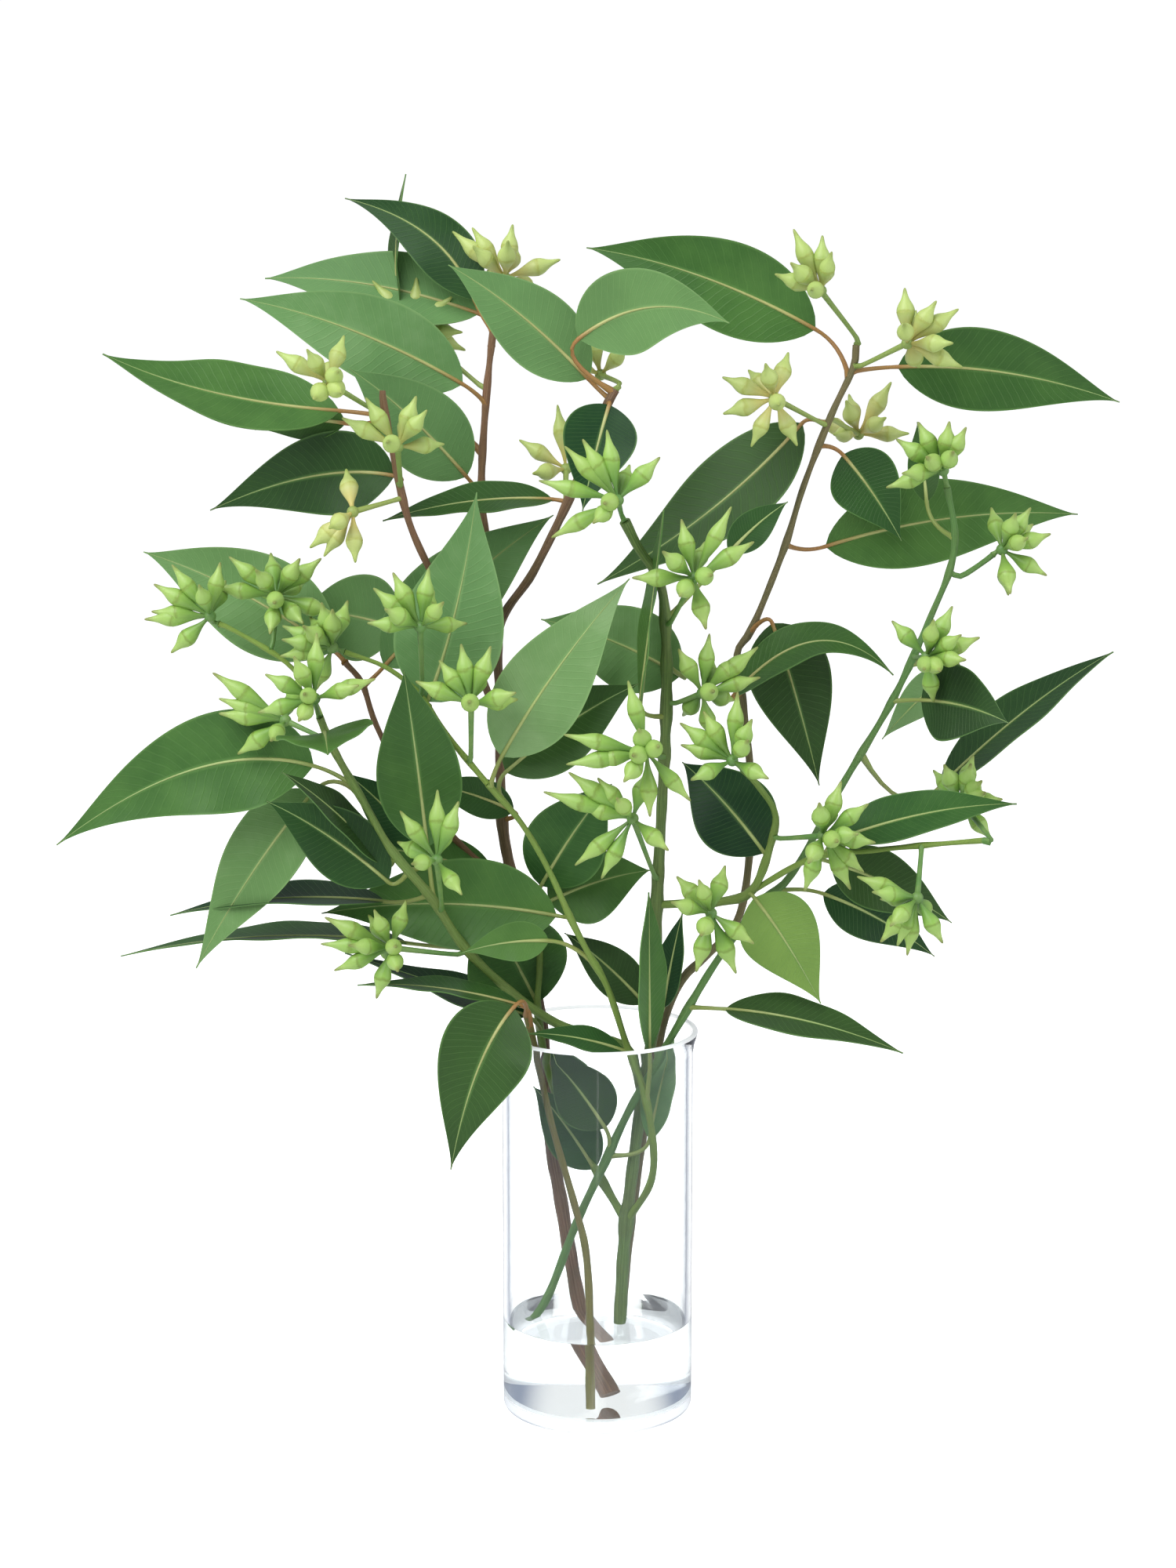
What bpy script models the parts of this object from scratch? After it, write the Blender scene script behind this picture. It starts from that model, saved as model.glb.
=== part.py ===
"""Eucalyptus sprigs with heads of beaked flower buds, standing in a clear glass cylinder vase.

Metres, +Z up. The origin is the middle of the vase's flat foot, and the front faces -Y.
Stems, leaves and bud heads are laid out along the photograph's own lines of sight: a place is
written as (u, v, toward), the pixel where it is seen in the 1500 by 2000 picture and how many
millimetres it stands in front of the vase's axis.
"""
import math
from collections import namedtuple

import bmesh
import bpy
from mathutils import Matrix, Vector

OBJECT_NAME = "eucalyptus_gum_nut_sprig"
MM = 0.001

# The vase is a common cylinder, about 10 cm across and 20 cm tall
VASE_HEIGHT = 0.202
WALL_RADIUS = 0.049
RIM_RADIUS = 0.0515
FOOT_RADIUS = 0.045
GLASS = 0.003
FLOOR = 0.006
CORNER = 0.004
LIP = 0.012
TURN_STEPS = 32

# A little water, with plain holes where the stems stand in it
WATER_LEVEL = 0.048
GAP = 0.0003
HOLE_GAP = 0.0004

# Stems: distance between the rings of a stem
STEM_STEP = 0.028
NEAREST_STEPS = 12

# Leaves: true width of a blade, its thickness, and the share of its length at each cross row
LEAF_WIDTH = 0.044
LEAF_STOUTNESS = 0.36
LEAF_THICKNESS = 0.0008
LEAF_ROWS = (0.0, 0.16, 0.38, 0.64, 0.86, 1.0)
LEAF_FOLD = 0.16
LEAF_RISE, LEAF_DRAWN_OUT = 0.75, 1.2
LEAF_END = 0.0006
LEAF_ARCH = 0.05
PETIOLE_HALF = 0.0011

# Buds: length from the head's middle to the beak's point, and radius along that length
BUD_LENGTH = 0.026
BUD_SIDES = 4
BUD_PROFILE = ((0.0009, 0.03), (0.0017, 0.36), (0.0058, 0.57))
BUD_SPACING = math.radians(58)
BUDS_SEEN = 5
BUDS_IN_ALL = 6
KNOB_SIZE = 0.0044
PEDUNCLE_RADIUS = 0.0014
STALK_LEAD = 0.003

# The picture's lines of sight
PHOTO_MIDDLE = (750.0, 1000.0)
FOCAL_PIXELS = 4350.0
EYE = Vector((-0.0049, -1.70, 0.63))
PITCH = math.radians(10.04)
AHEAD = Vector((0.0, math.cos(PITCH), -math.sin(PITCH)))
UP = Vector((0.0, math.sin(PITCH), math.cos(PITCH)))
PIXEL = 0.0004

Stem = namedtuple("Stem", "sprig radii start path")
Leaf = namedtuple("Leaf", "stem node base tip width via tilt", defaults=(None, 1))
Head = namedtuple("Head", "stem node middle tips")

# Each stem starts at a foot in the vase, as (x, toward, height) in millimetres, or at a stem
# named here. Two stems reach down to the vase's floor, and three end just under the water.
STEMS = {
    "olive": Stem("sprig_olive", (3.3, 2.3), (11.5, 5, 43), [
        (795, 1600, 5), (803, 1520, 5), (820, 1390, 0), (835, 1290, 0), (838, 1150, 5),
        (843, 1050, 10), (850, 900, 20), (848, 780, 25), (838, 735, 28), (815, 700, 32), (797, 665, 38)]),
    "olive_left": Stem("sprig_olive", (2.2, 1.5), ("olive", 797, 1555), [
        (765, 1500, -2), (725, 1430, -5), (700, 1370, -5), (686, 1290, -4), (688, 1240, -5),
        (690, 1150, -8)]),
    "green_long": Stem("sprig_olive", (1.9, 1.4), ("olive", 806, 1556), [
        (828, 1510, 20), (832, 1460, 26), (820, 1390, 27), (800, 1335, 27), (775, 1260, 32),
        (750, 1215, 38), (728, 1172, 40), (700, 1110, 40), (665, 1050, 40), (622, 1000, 42)]),
    "green_long_left": Stem("sprig_olive", (1.4, 1.1), ("green_long", 622, 1000), [
        (580, 950, 38), (555, 915, 34), (530, 880, 32), (490, 850, 32), (440, 832, 31)]),
    "green_thick": Stem("sprig_olive", (2.6, 1.6), ("olive", 820, 1390), [
        (800, 1338, 13), (750, 1320, 14), (700, 1300, 12), (640, 1255, 14), (590, 1205, 22),
        (550, 1145, 28), (500, 1085, 35), (465, 1025, 40), (425, 955, 48), (408, 915, 58)]),
    "green_far_left": Stem("sprig_olive", (1.3, 1.1), ("green_thick", 425, 952), [
        (398, 888, 34), (365, 845, 33), (300, 805, 30), (280, 796, 28)]),
    "side_right": Stem("sprig_olive", (2.2, 1.4), ("olive", 838, 1158), [
        (880, 1152, 10), (920, 1150, 15), (960, 1135, 20), (985, 1070, 25), (988, 1035, 28),
        (965, 1000, 36), (948, 982, 41)]),
    "side_right_outer": Stem("sprig_olive", (1.6, 1.2), ("side_right", 950, 1145), [
        (1035, 1095, 25), (1110, 1085, 30), (1180, 1078, 35), (1255, 1072, 40)]),
    "brown": Stem("sprig_brown", (4.0, 1.8), (5, 2, 10.8), [
        (745, 1690, -12), (727, 1600, -14), (715, 1530, -15), (700, 1440, -17), (690, 1300, -18),
        (655, 1130, -25), (640, 1040, -25), (638, 900, -25), (637, 800, -20), (680, 730, -12),
        (722, 645, -10), (755, 565, -4), (775, 515, 0), (785, 497, 0)]),
    "brown_middle": Stem("sprig_brown", (2.2, 1.4), ("brown", 638, 820), [
        (622, 700, -35), (614, 625, -40), (620, 510, -40), (628, 430, -40), (632, 395, -39)]),
    "brown_left": Stem("sprig_brown", (2.2, 1.5), ("brown", 638, 920), [
        (600, 830, 0), (560, 750, 10), (525, 675, 15), (508, 610, 18), (490, 520, 20), (488, 498, 20)]),
    "brown_low_left": Stem("sprig_brown", (2.0, 1.3), ("brown", 655, 1130), [
        (590, 1080, -30), (520, 1000, -20), (480, 925, -10), (462, 872, -5), (440, 845, 0)]),
    "right": Stem("sprig_right", (2.2, 1.5), (-36, 0, 43), [
        (700, 1650, 1), (735, 1560, 6), (770, 1485, 10), (805, 1410, 14), (855, 1325, 20),
        (905, 1240, 18), (940, 1190, 10), (970, 1150, 2), (1010, 1115, -3), (1075, 1000, -5),
        (1140, 890, -5), (1190, 780, -5), (1212, 725, -5), (1218, 680, -5), (1208, 622, -3)]),
    "right_fork": Stem("sprig_right", (1.5, 1.2), ("right", 1212, 725), [
        (1225, 735, -5), (1250, 720, -5), (1266, 708, -5)]),
    "tall_right": Stem("sprig_tall_right", (2.6, 1.4), (13, -18, 42), [
        (800, 1600, -18), (820, 1450, -18), (845, 1310, -16), (870, 1250, -12), (900, 1220, -12),
        (940, 1175, -15), (955, 1100, -18), (958, 1000, -20), (948, 900, -18), (940, 835, -20),
        (960, 800, -22), (1000, 700, -25), (1025, 620, -25), (1060, 530, -25), (1088, 470, -25),
        (1092, 440, -25)]),
    "low_left": Stem("twig_low_left", (2.2, 1.5), (-3, 22, 8.5), [
        (753, 1697, 22), (748, 1600, 22), (733, 1535, 23), (705, 1435, 24), (685, 1345, 24),
        (672, 1295, 26)]),
}

# Each leaf: the stem and the pixel where its petiole leaves it, its base, its point, the width
# seen in pixels, a place that its midrib passes and +1 where its face tilts up or -1 down
LEAVES = {
    "leaf_01": Leaf("brown_middle", (628, 425), (605, 382, -62), (440, 258, -95), 65),
    "leaf_02": Leaf("brown_middle", (627, 440), (610, 400, -50), (338, 355, -55), 90),
    "leaf_02b": Leaf("brown_middle", (616, 575), (512, 400, -85), (517, 222, -80), 12, (505, 320, -84)),
    "leaf_03": Leaf("brown_middle", (619, 515), (590, 490, -35), (306, 381, -30), 108),
    "leaf_04": Leaf("brown", (780, 508), (750, 483, -5), (572, 338, 10), 95),
    "leaf_05": Leaf("brown", (783, 502), (738, 432, 8), (930, 412, 44), 105, (830, 392, 18)),
    "leaf_06": Leaf("brown_left", (490, 530), (433, 524, 8), (131, 451, 20), 75),
    "leaf_07": Leaf("brown_left", (492, 535), (440, 540, 0), (325, 548, -30), 50),
    "leaf_08": Leaf("brown_left", (508, 612), (503, 607, 5), (268, 651, -20), 105, (395, 608, -5)),
    "leaf_09": Leaf("brown_middle", (614, 628), (595, 608, -38), (445, 470, -15), 105),
    "leaf_10": Leaf("brown", (775, 518), (780, 530, 5), (745, 640, 20), 88),
    "leaf_18": Leaf("brown", (722, 645), (705, 637, -12), (488, 664, -10), 38),
    "leaf_19": Leaf("brown_low_left", (462, 872), (490, 850, -10), (706, 657, -25), 105),
    "leaf_21": Leaf("brown_low_left", (440, 845), (425, 830, -5), (183, 704, -25), 124),
    "leaf_22": Leaf("brown_left", (570, 770), (510, 803, -15), (380, 780, -35), 112),
    "leaf_59": Leaf("brown", (653, 1120), (630, 1118, -27), (455, 1080, -24), 60),
    "leaf_60": Leaf("brown", (640, 1050), (655, 1035, -15), (540, 1000, -5), 50),
    "leaf_20": Leaf("green_long_left", (548, 905), (545, 895, 30), (608, 628, 14), 118, (588, 775, 24)),
    "leaf_23": Leaf("green_thick", (455, 1005), (400, 977, 35), (72, 1078, 30), 128, (245, 982, 34)),
    "leaf_24": Leaf("green_thick", (425, 955), (414, 934, 64), (418, 962, 104), 118),
    "leaf_25": Leaf("green_thick", (458, 1012), (400, 1010, 20), (250, 1235, 10), 95),
    "leaf_26": Leaf("green_thick", (500, 1085), (490, 1100, 20), (360, 985, 55), 35),
    "leaf_27": Leaf("green_thick", (520, 1110), (495, 1125, 28), (340, 1022, 42), 88),
    "leaf_28": Leaf("green_thick", (545, 1140), (490, 1150, 15), (217, 1167, 0), 30),
    "leaf_29": Leaf("green_thick", (590, 1205), (520, 1203, -5), (154, 1219, -20), 22),
    "leaf_30": Leaf("green_long", (728, 1172), (710, 1168, 20), (410, 1165, -4), 110),
    "leaf_31": Leaf("green_long", (762, 1232), (700, 1200, 38), (590, 1215, 40), 50),
    "leaf_32": Leaf("olive_left", (686, 1292), (685, 1280, -8), (610, 1150, -12), 110),
    "leaf_34": Leaf("olive_left", (688, 1310), (672, 1296, 2), (440, 1215, -20), 45, (590, 1266, -8)),
    "leaf_36": Leaf("green_long", (806, 1350), (795, 1340, 28), (674, 1318, 36), 30),
    "leaf_38": Leaf("olive_left", (766, 1502), (758, 1490, -2), (680, 1385, -2), 70),
    "leaf_41": Leaf("side_right", (958, 1137), (962, 1145, 24), (1047, 1280, 35), 92),
    "leaf_42": Leaf("side_right", (978, 1100), (975, 1088, 15), (870, 972, -8), 105),
    "leaf_45": Leaf("side_right_outer", (1040, 1094), (1060, 1100, 20), (1214, 1177, 15), 78),
    "leaf_46": Leaf("side_right_outer", (1050, 1092), (1070, 1070, 25), (1297, 1025, 20), 58),
    "leaf_53": Leaf("green_long", (632, 1003), (640, 965, 44), (803, 738, 45), 108, (712, 852, 50)),
    "leaf_54": Leaf("olive", (848, 850), (868, 862, 8), (690, 790, 15), 105),
    "leaf_55": Leaf("green_long", (640, 1012), (645, 985, 32), (815, 872, 30), 95),
    "leaf_56": Leaf("green_thick", (550, 1145), (545, 1080, 32), (515, 855, 58), 105),
    "leaf_58": Leaf("green_thick", (520, 1110), (540, 1085, 12), (440, 985, 5), 60),
    "leaf_61": Leaf("olive_left", (690, 1152), (690, 1130, 0), (780, 1000, 15), 92),
    "leaf_62": Leaf("olive_left", (690, 1180), (700, 1150, -6), (830, 1110, -12), 78),
    "leaf_63": Leaf("olive", (835, 1292), (822, 1280, -8), (720, 1190, -20), 60),
    "leaf_65": Leaf("green_long", (824, 1405), (828, 1340, 32), (828, 1138, 30), 35),
    "leaf_66": Leaf("olive", (835, 1295), (846, 1285, 6), (870, 1165, 12), 35),
    "leaf_67": Leaf("olive", (850, 915), (817, 895, 32), (846, 650, 38), 14, (832, 770, 36)),
    "leaf_68": Leaf("olive", (848, 788), (930, 705, 20), (1005, 640, 10), 45),
    "leaf_16": Leaf("right", (1213, 690), (1182, 640, -24), (1170, 538, -34), 40),
    "leaf_37": Leaf("right", (776, 1472), (772, 1438, 14), (700, 1345, 15), 78),
    "leaf_39": Leaf("right", (778, 1470), (826, 1450, 12), (852, 1318, 11), 34),
    "leaf_40": Leaf("right", (880, 1288), (925, 1287, 30), (1152, 1343, 45), 48),
    "leaf_44": Leaf("right", (985, 1138), (1050, 1140, -5), (1192, 1220, -15), 70),
    "leaf_47": Leaf("right", (1100, 960), (1200, 1003, -44), (1420, 831, -52), 55),
    "leaf_48": Leaf("right", (1143, 893), (1175, 893, 5), (1286, 922, 45), 98),
    "leaf_49": Leaf("right", (1162, 850), (1215, 857, -25), (1125, 943, -32), 50),
    "leaf_11": Leaf("tall_right", (1056, 540), (1023, 540, -28), (762, 745, -5), 100, (905, 652, -22)),
    "leaf_12": Leaf("tall_right", (1083, 480), (1040, 420, -44), (748, 316, -55), 115),
    "leaf_13": Leaf("tall_right", (1088, 472), (1145, 468, -38), (1428, 513, -42), 105),
    "leaf_14": Leaf("tall_right", (1002, 698), (1053, 697, -40), (1375, 656, -62), 110),
    "leaf_15": Leaf("tall_right", (1048, 566), (1075, 580, -32), (1150, 690, -26), 88),
    "leaf_50": Leaf("tall_right", (955, 808), (985, 795, -15), (1045, 1002, -12), 105),
    "leaf_51": Leaf("tall_right", (946, 880), (935, 888, -6), (1140, 861, 8), 48, (1040, 818, 2)),
    "leaf_33": Leaf("low_left", (675, 1305), (665, 1283, 30), (456, 1256, 20), 22),
    "leaf_35": Leaf("low_left", (673, 1297), (655, 1285, 46), (575, 1492, 58), 95, (608, 1368, 56)),
}

# Each bud head: the stem and the pixel where its stalk leaves it, its middle, and the pixels of
# the points of the buds that face the front
HEADS = {
    "bud_head_01": Head("brown_middle", (632, 395), (644, 354, -38), [
        (577, 295), (602, 290), (604, 313), (654, 286), (649, 306), (715, 331)]),
    "bud_head_02": Head("brown_middle", (620, 498), (530, 420, -62), [
        (475, 358), (531, 354), (577, 378), (591, 423), (594, 447)]),
    "bud_head_03": Head("brown_left", (490, 525), (419, 488, 44), [
        (352, 448), (395, 443), (436, 470), (440, 497), (405, 505)]),
    "bud_head_04": Head("brown_left", (509, 615), (507, 570, 44), [
        (466, 507), (531, 505), (546, 521), (436, 533), (498, 558)]),
    "bud_head_05": Head("brown_left", (512, 635), (450, 653, 34), [
        (395, 699), (413, 710), (455, 715), (404, 656), (448, 660)]),
    "bud_head_06": Head("brown", (785, 497), (766, 478, -34), [
        (752, 418), (720, 455), (800, 440)]),
    "bud_head_07": Head("brown", (722, 645), (722, 598, -32), [
        (662, 561), (711, 516), (680, 600)]),
    "bud_head_08": Head("olive", (797, 665), (788, 638, 56), [
        (774, 548), (743, 560), (720, 569), (842, 583), (687, 613), (703, 686), (770, 636), (756, 662)]),
    "bud_head_09": Head("olive", (850, 795), (885, 737, 56), [
        (869, 662), (933, 646), (844, 699), (962, 691), (806, 737), (900, 801), (906, 726), (865, 753)]),
    "bud_head_10": Head("olive", (849, 890), (896, 884, 34), [
        (905, 808), (865, 826), (967, 825), (970, 864), (908, 872), (947, 835)]),
    "bud_head_11": Head("olive", (848, 965), (825, 960, 66), [
        (801, 868), (719, 937), (722, 975), (881, 1022), (829, 1042), (814, 921), (752, 971), (839, 941),
        (795, 988), (806, 953)]),
    "bud_head_12": Head("olive", (840, 1110), (807, 1044, 58), [
        (693, 1010), (725, 985), (733, 1104), (767, 1121), (852, 1078), (741, 1029), (786, 1008),
        (762, 992)]),
    "bud_head_13": Head("side_right", (948, 982), (934, 970, 52), [
        (941, 882), (958, 913), (897, 907), (867, 922), (868, 950), (880, 989), (978, 985), (952, 935)]),
    "bud_head_14": Head("side_right", (905, 1151), (907, 1165, 54), [
        (890, 1114), (855, 1143), (888, 1240), (939, 1242), (961, 1200), (892, 1180)]),
    "bud_head_15": Head("side_right", (986, 1068), (1050, 1066, 48), [
        (1073, 996), (1042, 1016), (1108, 1025), (1117, 1075), (1102, 1113), (1085, 1135), (1026, 1137),
        (1091, 1054), (1064, 1061), (1027, 1090)]),
    "bud_head_16": Head("side_right_outer", (1180, 1078), (1170, 1145, 58), [
        (1093, 1118), (1110, 1132), (1123, 1202), (1144, 1206), (1157, 1219), (1202, 1202), (1131, 1171)]),
    "bud_head_17": Head("side_right_outer", (1255, 1072), (1225, 1022, -8), [
        (1201, 970), (1235, 968), (1247, 987), (1251, 1001), (1274, 1012), (1262, 1066)]),
    "bud_head_19": Head("right", (1208, 622), (1203, 600, 2), [
        (1171, 538), (1209, 536), (1230, 543), (1143, 560), (1147, 601), (1130, 622), (1176, 578),
        (1210, 571)]),
    "bud_head_20": Head("right_fork", (1266, 708), (1278, 701, -3), [
        (1291, 650), (1313, 646), (1338, 679), (1334, 733), (1284, 753), (1304, 680)]),
    "bud_head_21": Head("right", (1166, 840), (1182, 838, 22), [
        (1187, 785), (1215, 773), (1250, 813), (1222, 804), (1227, 835), (1172, 845), (1193, 847)]),
    "bud_head_22": Head("tall_right", (1092, 440), (1047, 371, -8), [
        (1012, 292), (1049, 300), (1058, 320), (1006, 334), (987, 349), (1031, 367)]),
    "bud_head_23": Head("tall_right", (1090, 460), (1157, 438, -6), [
        (1154, 367), (1193, 383), (1223, 394), (1212, 436), (1228, 469), (1148, 410)]),
    "bud_head_24": Head("tall_right", (1056, 540), (988, 508, 0), [
        (921, 481), (974, 461), (922, 528), (958, 570), (1017, 569), (990, 512)]),
    "bud_head_25": Head("tall_right", (1060, 530), (1095, 554, -64), [
        (1076, 508), (1137, 487), (1059, 550), (1160, 553), (1126, 529)]),
    "bud_head_26": Head("green_far_left", (280, 796), (268, 786, 30), [
        (219, 720), (196, 745), (281, 717), (193, 780), (184, 790), (218, 833), (259, 740)]),
    "bud_head_27": Head("green_far_left", (345, 833), (353, 760, 22), [
        (292, 710), (385, 709), (410, 712), (275, 749), (427, 784), (349, 802), (331, 721), (391, 790),
        (356, 761)]),
    "bud_head_28": Head("green_long_left", (440, 832), (424, 826, 37), [
        (360, 798), (358, 836), (390, 792), (412, 765), (427, 772), (361, 813)]),
    "bud_head_29": Head("green_thick", (408, 915), (401, 891, 82), [
        (404, 807), (377, 833), (338, 860), (479, 866), (460, 870), (329, 909), (393, 875), (386, 910)]),
    "bud_head_30": Head("green_thick", (420, 945), (364, 919, 42), [
        (271, 858), (279, 891), (279, 910), (303, 962), (351, 935)]),
    "bud_head_32": Head("green_thick", (557, 1155), (557, 1097, 68), [
        (510, 1034), (558, 1007), (585, 1022), (591, 1132), (528, 1090)]),
    "bud_head_33": Head("green_thick", (592, 1208), (499, 1209, 38), [
        (414, 1170), (479, 1154), (409, 1204), (426, 1238), (480, 1274), (447, 1197), (508, 1193),
        (511, 1225)]),
    "bud_head_34": Head("green_long_left", (535, 886), (536, 800, 60), [
        (476, 750), (501, 730), (547, 724), (568, 762), (469, 793), (493, 771)]),
    "bud_head_35": Head("green_long_left", (598, 972), (601, 898, 66), [
        (560, 842), (588, 821), (626, 824), (659, 879), (530, 869), (601, 885)]),
}

# Colour, roughness and alpha of each finish
FINISHES = {
    "clear_glass": ((0.82, 0.88, 0.89, 1.0), 0.04, 0.35),
    "water": ((0.80, 0.89, 0.90, 1.0), 0.03, 0.45),
    "leaf_green": ((0.10, 0.17, 0.10, 1.0), 0.45, 1.0),
    "bud_green": ((0.42, 0.50, 0.14, 1.0), 0.50, 1.0),
}


def clear_scene():
    """Remove every object of the open file."""
    for item in list(bpy.data.objects):
        bpy.data.objects.remove(item)


def place(u, v, toward):
    """The point seen at pixel (u, v), `toward` millimetres in front of the vase's axis."""
    ray = AHEAD + UP * ((PHOTO_MIDDLE[1] - v) / FOCAL_PIXELS)
    ray.x += (u - PHOTO_MIDDLE[0]) / FOCAL_PIXELS
    return EYE + ray * ((-toward * MM - EYE.y) / ray.y)


def pixel(point):
    """The pixel at which a point is seen."""
    sight = point - EYE
    depth = sight.dot(AHEAD)
    across = FOCAL_PIXELS * sight.x / depth
    upward = FOCAL_PIXELS * sight.dot(UP) / depth
    return Vector((PHOTO_MIDDLE[0] + across, PHOTO_MIDDLE[1] - upward))


def smooth(points, step):
    """Points about `step` apart on a smooth curve through the given ones."""
    ends = [points[0] * 2 - points[1]] + points + [points[-1] * 2 - points[-2]]
    path = []
    for a, b, c, d in zip(ends, ends[1:], ends[2:], ends[3:]):
        count = max(1, round((c - b).length / step))
        for i in range(count):
            t = i / count
            bend = (a * 2 - b * 5 + c * 4 - d) * t * t + (b * 3 - a - c * 3 + d) * t ** 3
            path.append((b * 2 + (c - a) * t + bend) * 0.5)
    path.append(points[-1])
    return path


def finish(name):
    """The Principled material of one finish."""
    if name in bpy.data.materials:
        return bpy.data.materials[name]
    colour, roughness, alpha = FINISHES[name]
    material = bpy.data.materials.new(name)
    material.use_nodes = True
    shader = material.node_tree.nodes["Principled BSDF"]
    shader.inputs["Base Color"].default_value = colour
    shader.inputs["Roughness"].default_value = roughness
    shader.inputs["Metallic"].default_value = 0.0
    shader.inputs["Alpha"].default_value = alpha
    return material


def as_mesh(source, weld):
    """A mesh object from a curve or from an object's modifiers, with its seams welded if asked."""
    if not source.users_collection:
        bpy.context.scene.collection.objects.link(source)
    depsgraph = bpy.context.evaluated_depsgraph_get()
    mesh = bpy.data.meshes.new_from_object(source.evaluated_get(depsgraph))
    name = source.name
    place_in_world = source.matrix_world.copy()
    bpy.data.objects.remove(source)
    solid = bpy.data.objects.new(name, mesh)
    solid.matrix_world = place_in_world
    if weld:
        bm = bmesh.new()
        bm.from_mesh(mesh)
        bmesh.ops.remove_doubles(bm, verts=bm.verts, dist=0.00001)
        bmesh.ops.recalc_face_normals(bm, faces=bm.faces)
        bm.to_mesh(mesh)
        bm.free()
    return solid


def tube(name, points, start_radius, end_radius, resolution):
    """A tapering stalk along the points."""
    curve = bpy.data.curves.new(name, "CURVE")
    curve.dimensions = "3D"
    curve.bevel_depth = 1.0
    curve.bevel_resolution = resolution
    curve.use_fill_caps = True
    spline = curve.splines.new("POLY")
    spline.points.add(len(points) - 1)
    for i, point in enumerate(points):
        share = i / (len(points) - 1)
        spline.points[i].co = (*point, 1.0)
        spline.points[i].radius = start_radius + (end_radius - start_radius) * share
    return as_mesh(bpy.data.objects.new(name, curve), True)


def mesh_object(name, bm):
    """An object from a bmesh, which is freed."""
    mesh = bpy.data.meshes.new(name)
    bmesh.ops.recalc_face_normals(bm, faces=bm.faces)
    bm.to_mesh(mesh)
    bm.free()
    return bpy.data.objects.new(name, mesh)


def turned(name, profile):
    """A solid turned about Z, from a profile that runs down its outer side."""
    bm = bmesh.new()
    points = [bm.verts.new((radius, 0.0, height)) for radius, height in profile]
    for first, second in zip(points, points[1:]):
        bm.edges.new((first, second))
    mesh = bpy.data.meshes.new(name)
    bm.to_mesh(mesh)
    bm.free()
    solid = bpy.data.objects.new(name, mesh)
    screw = solid.modifiers.new("turn", "SCREW")
    screw.steps = TURN_STEPS
    screw.render_steps = TURN_STEPS
    screw.use_merge_vertices = True
    screw.merge_threshold = 0.00001
    return as_mesh(solid, True)


def fuse(name, pieces):
    """One closed solid from pieces that run into one another."""
    repeats = bpy.data.collections.new(name + "_pieces")
    bpy.context.scene.collection.children.link(repeats)
    body = pieces[0]
    body.name = name
    for piece in pieces[1:]:
        repeats.objects.link(piece)
    union = body.modifiers.new("union", "BOOLEAN")
    union.operation = "UNION"
    union.operand_type = "COLLECTION"
    union.collection = repeats
    union.solver = "MANIFOLD"
    solid = as_mesh(body, False)
    solid.name = name
    for piece in list(repeats.objects):
        bpy.data.objects.remove(piece)
    bpy.data.collections.remove(repeats)
    return solid


def add(solid, finish_name, parts):
    """Give a finished solid its material and put it with the object's parts."""
    solid.data.materials.clear()
    solid.data.materials.append(finish(finish_name))
    solid.data.shade_smooth()
    solid.data.set_sharp_from_angle(angle=math.radians(40))
    parts.objects.link(solid)


def make_vase(parts):
    """The glass: a thick foot, a straight wall and a slightly flared lip."""
    inner = WALL_RADIUS - GLASS
    inner_lip = RIM_RADIUS - GLASS
    middle_lip = RIM_RADIUS - GLASS / 2
    lip_start = VASE_HEIGHT - LIP
    profile = [(0.0, FLOOR), (inner - CORNER, FLOOR), (inner, FLOOR + CORNER), (inner, lip_start),
               (inner_lip, VASE_HEIGHT - GLASS / 2), (middle_lip, VASE_HEIGHT),
               (RIM_RADIUS, VASE_HEIGHT - GLASS / 2), (WALL_RADIUS, lip_start),
               (WALL_RADIUS, CORNER), (FOOT_RADIUS, 0.0), (0.0, 0.0)]
    add(turned("vase", profile), "clear_glass", parts)


def make_water(parts, cutters, feet):
    """The water, 0.3 mm clear of the glass, with a hole round each stem."""
    edge = WALL_RADIUS - GLASS - GAP
    low = FLOOR + GAP
    profile = [(0.0, WATER_LEVEL), (edge, WATER_LEVEL), (edge, low + CORNER), (edge - CORNER, low), (0.0, low)]
    water = turned("water", profile)
    for name, (points, radius) in feet.items():
        cutter = tube("hole_" + name, points, radius + HOLE_GAP, radius + HOLE_GAP, 1)
        cutter.hide_render = True
        cutter.display_type = "WIRE"
        cutters.objects.link(cutter)
        hole = water.modifiers.new("hole_" + name, "BOOLEAN")
        hole.operation = "DIFFERENCE"
        hole.object = cutter
    add(as_mesh(water, False), "water", parts)


def nearest(path, u, v):
    """The point of a stem's line seen nearest to a pixel, its direction there and its share."""
    target = Vector((u, v))
    found = []
    for i, (a, b) in enumerate(zip(path, path[1:])):
        for step in range(NEAREST_STEPS + 1):
            point = a.lerp(b, step / NEAREST_STEPS)
            share = (i + step / NEAREST_STEPS) / (len(path) - 1)
            found.append(((pixel(point) - target).length, share, point, (b - a).normalized()))
    distance, share, point, along = min(found, key=lambda item: item[0])
    return point, along, share


def stem_paths():
    """The smooth centre line of every stem."""
    paths = {}
    for name, stem in STEMS.items():
        if isinstance(stem.start[0], str):
            parent = paths[stem.start[0]]
            first = nearest(parent, stem.start[1], stem.start[2])[0]
        else:
            x, toward, height = stem.start
            first = Vector((x, -toward, height)) * MM
        points = [first] + [place(*spot) for spot in stem.path]
        paths[name] = smooth(points, STEM_STEP)
    return paths


def blade_shape(share):
    """Half width of a blade as a share of its widest, from 0 at its base to 1 at its point."""
    widest = LEAF_RISE / (LEAF_RISE + LEAF_DRAWN_OUT)
    rise = (share / widest) ** LEAF_RISE
    return rise * ((1 - share) / (1 - widest)) ** LEAF_DRAWN_OUT


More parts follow.
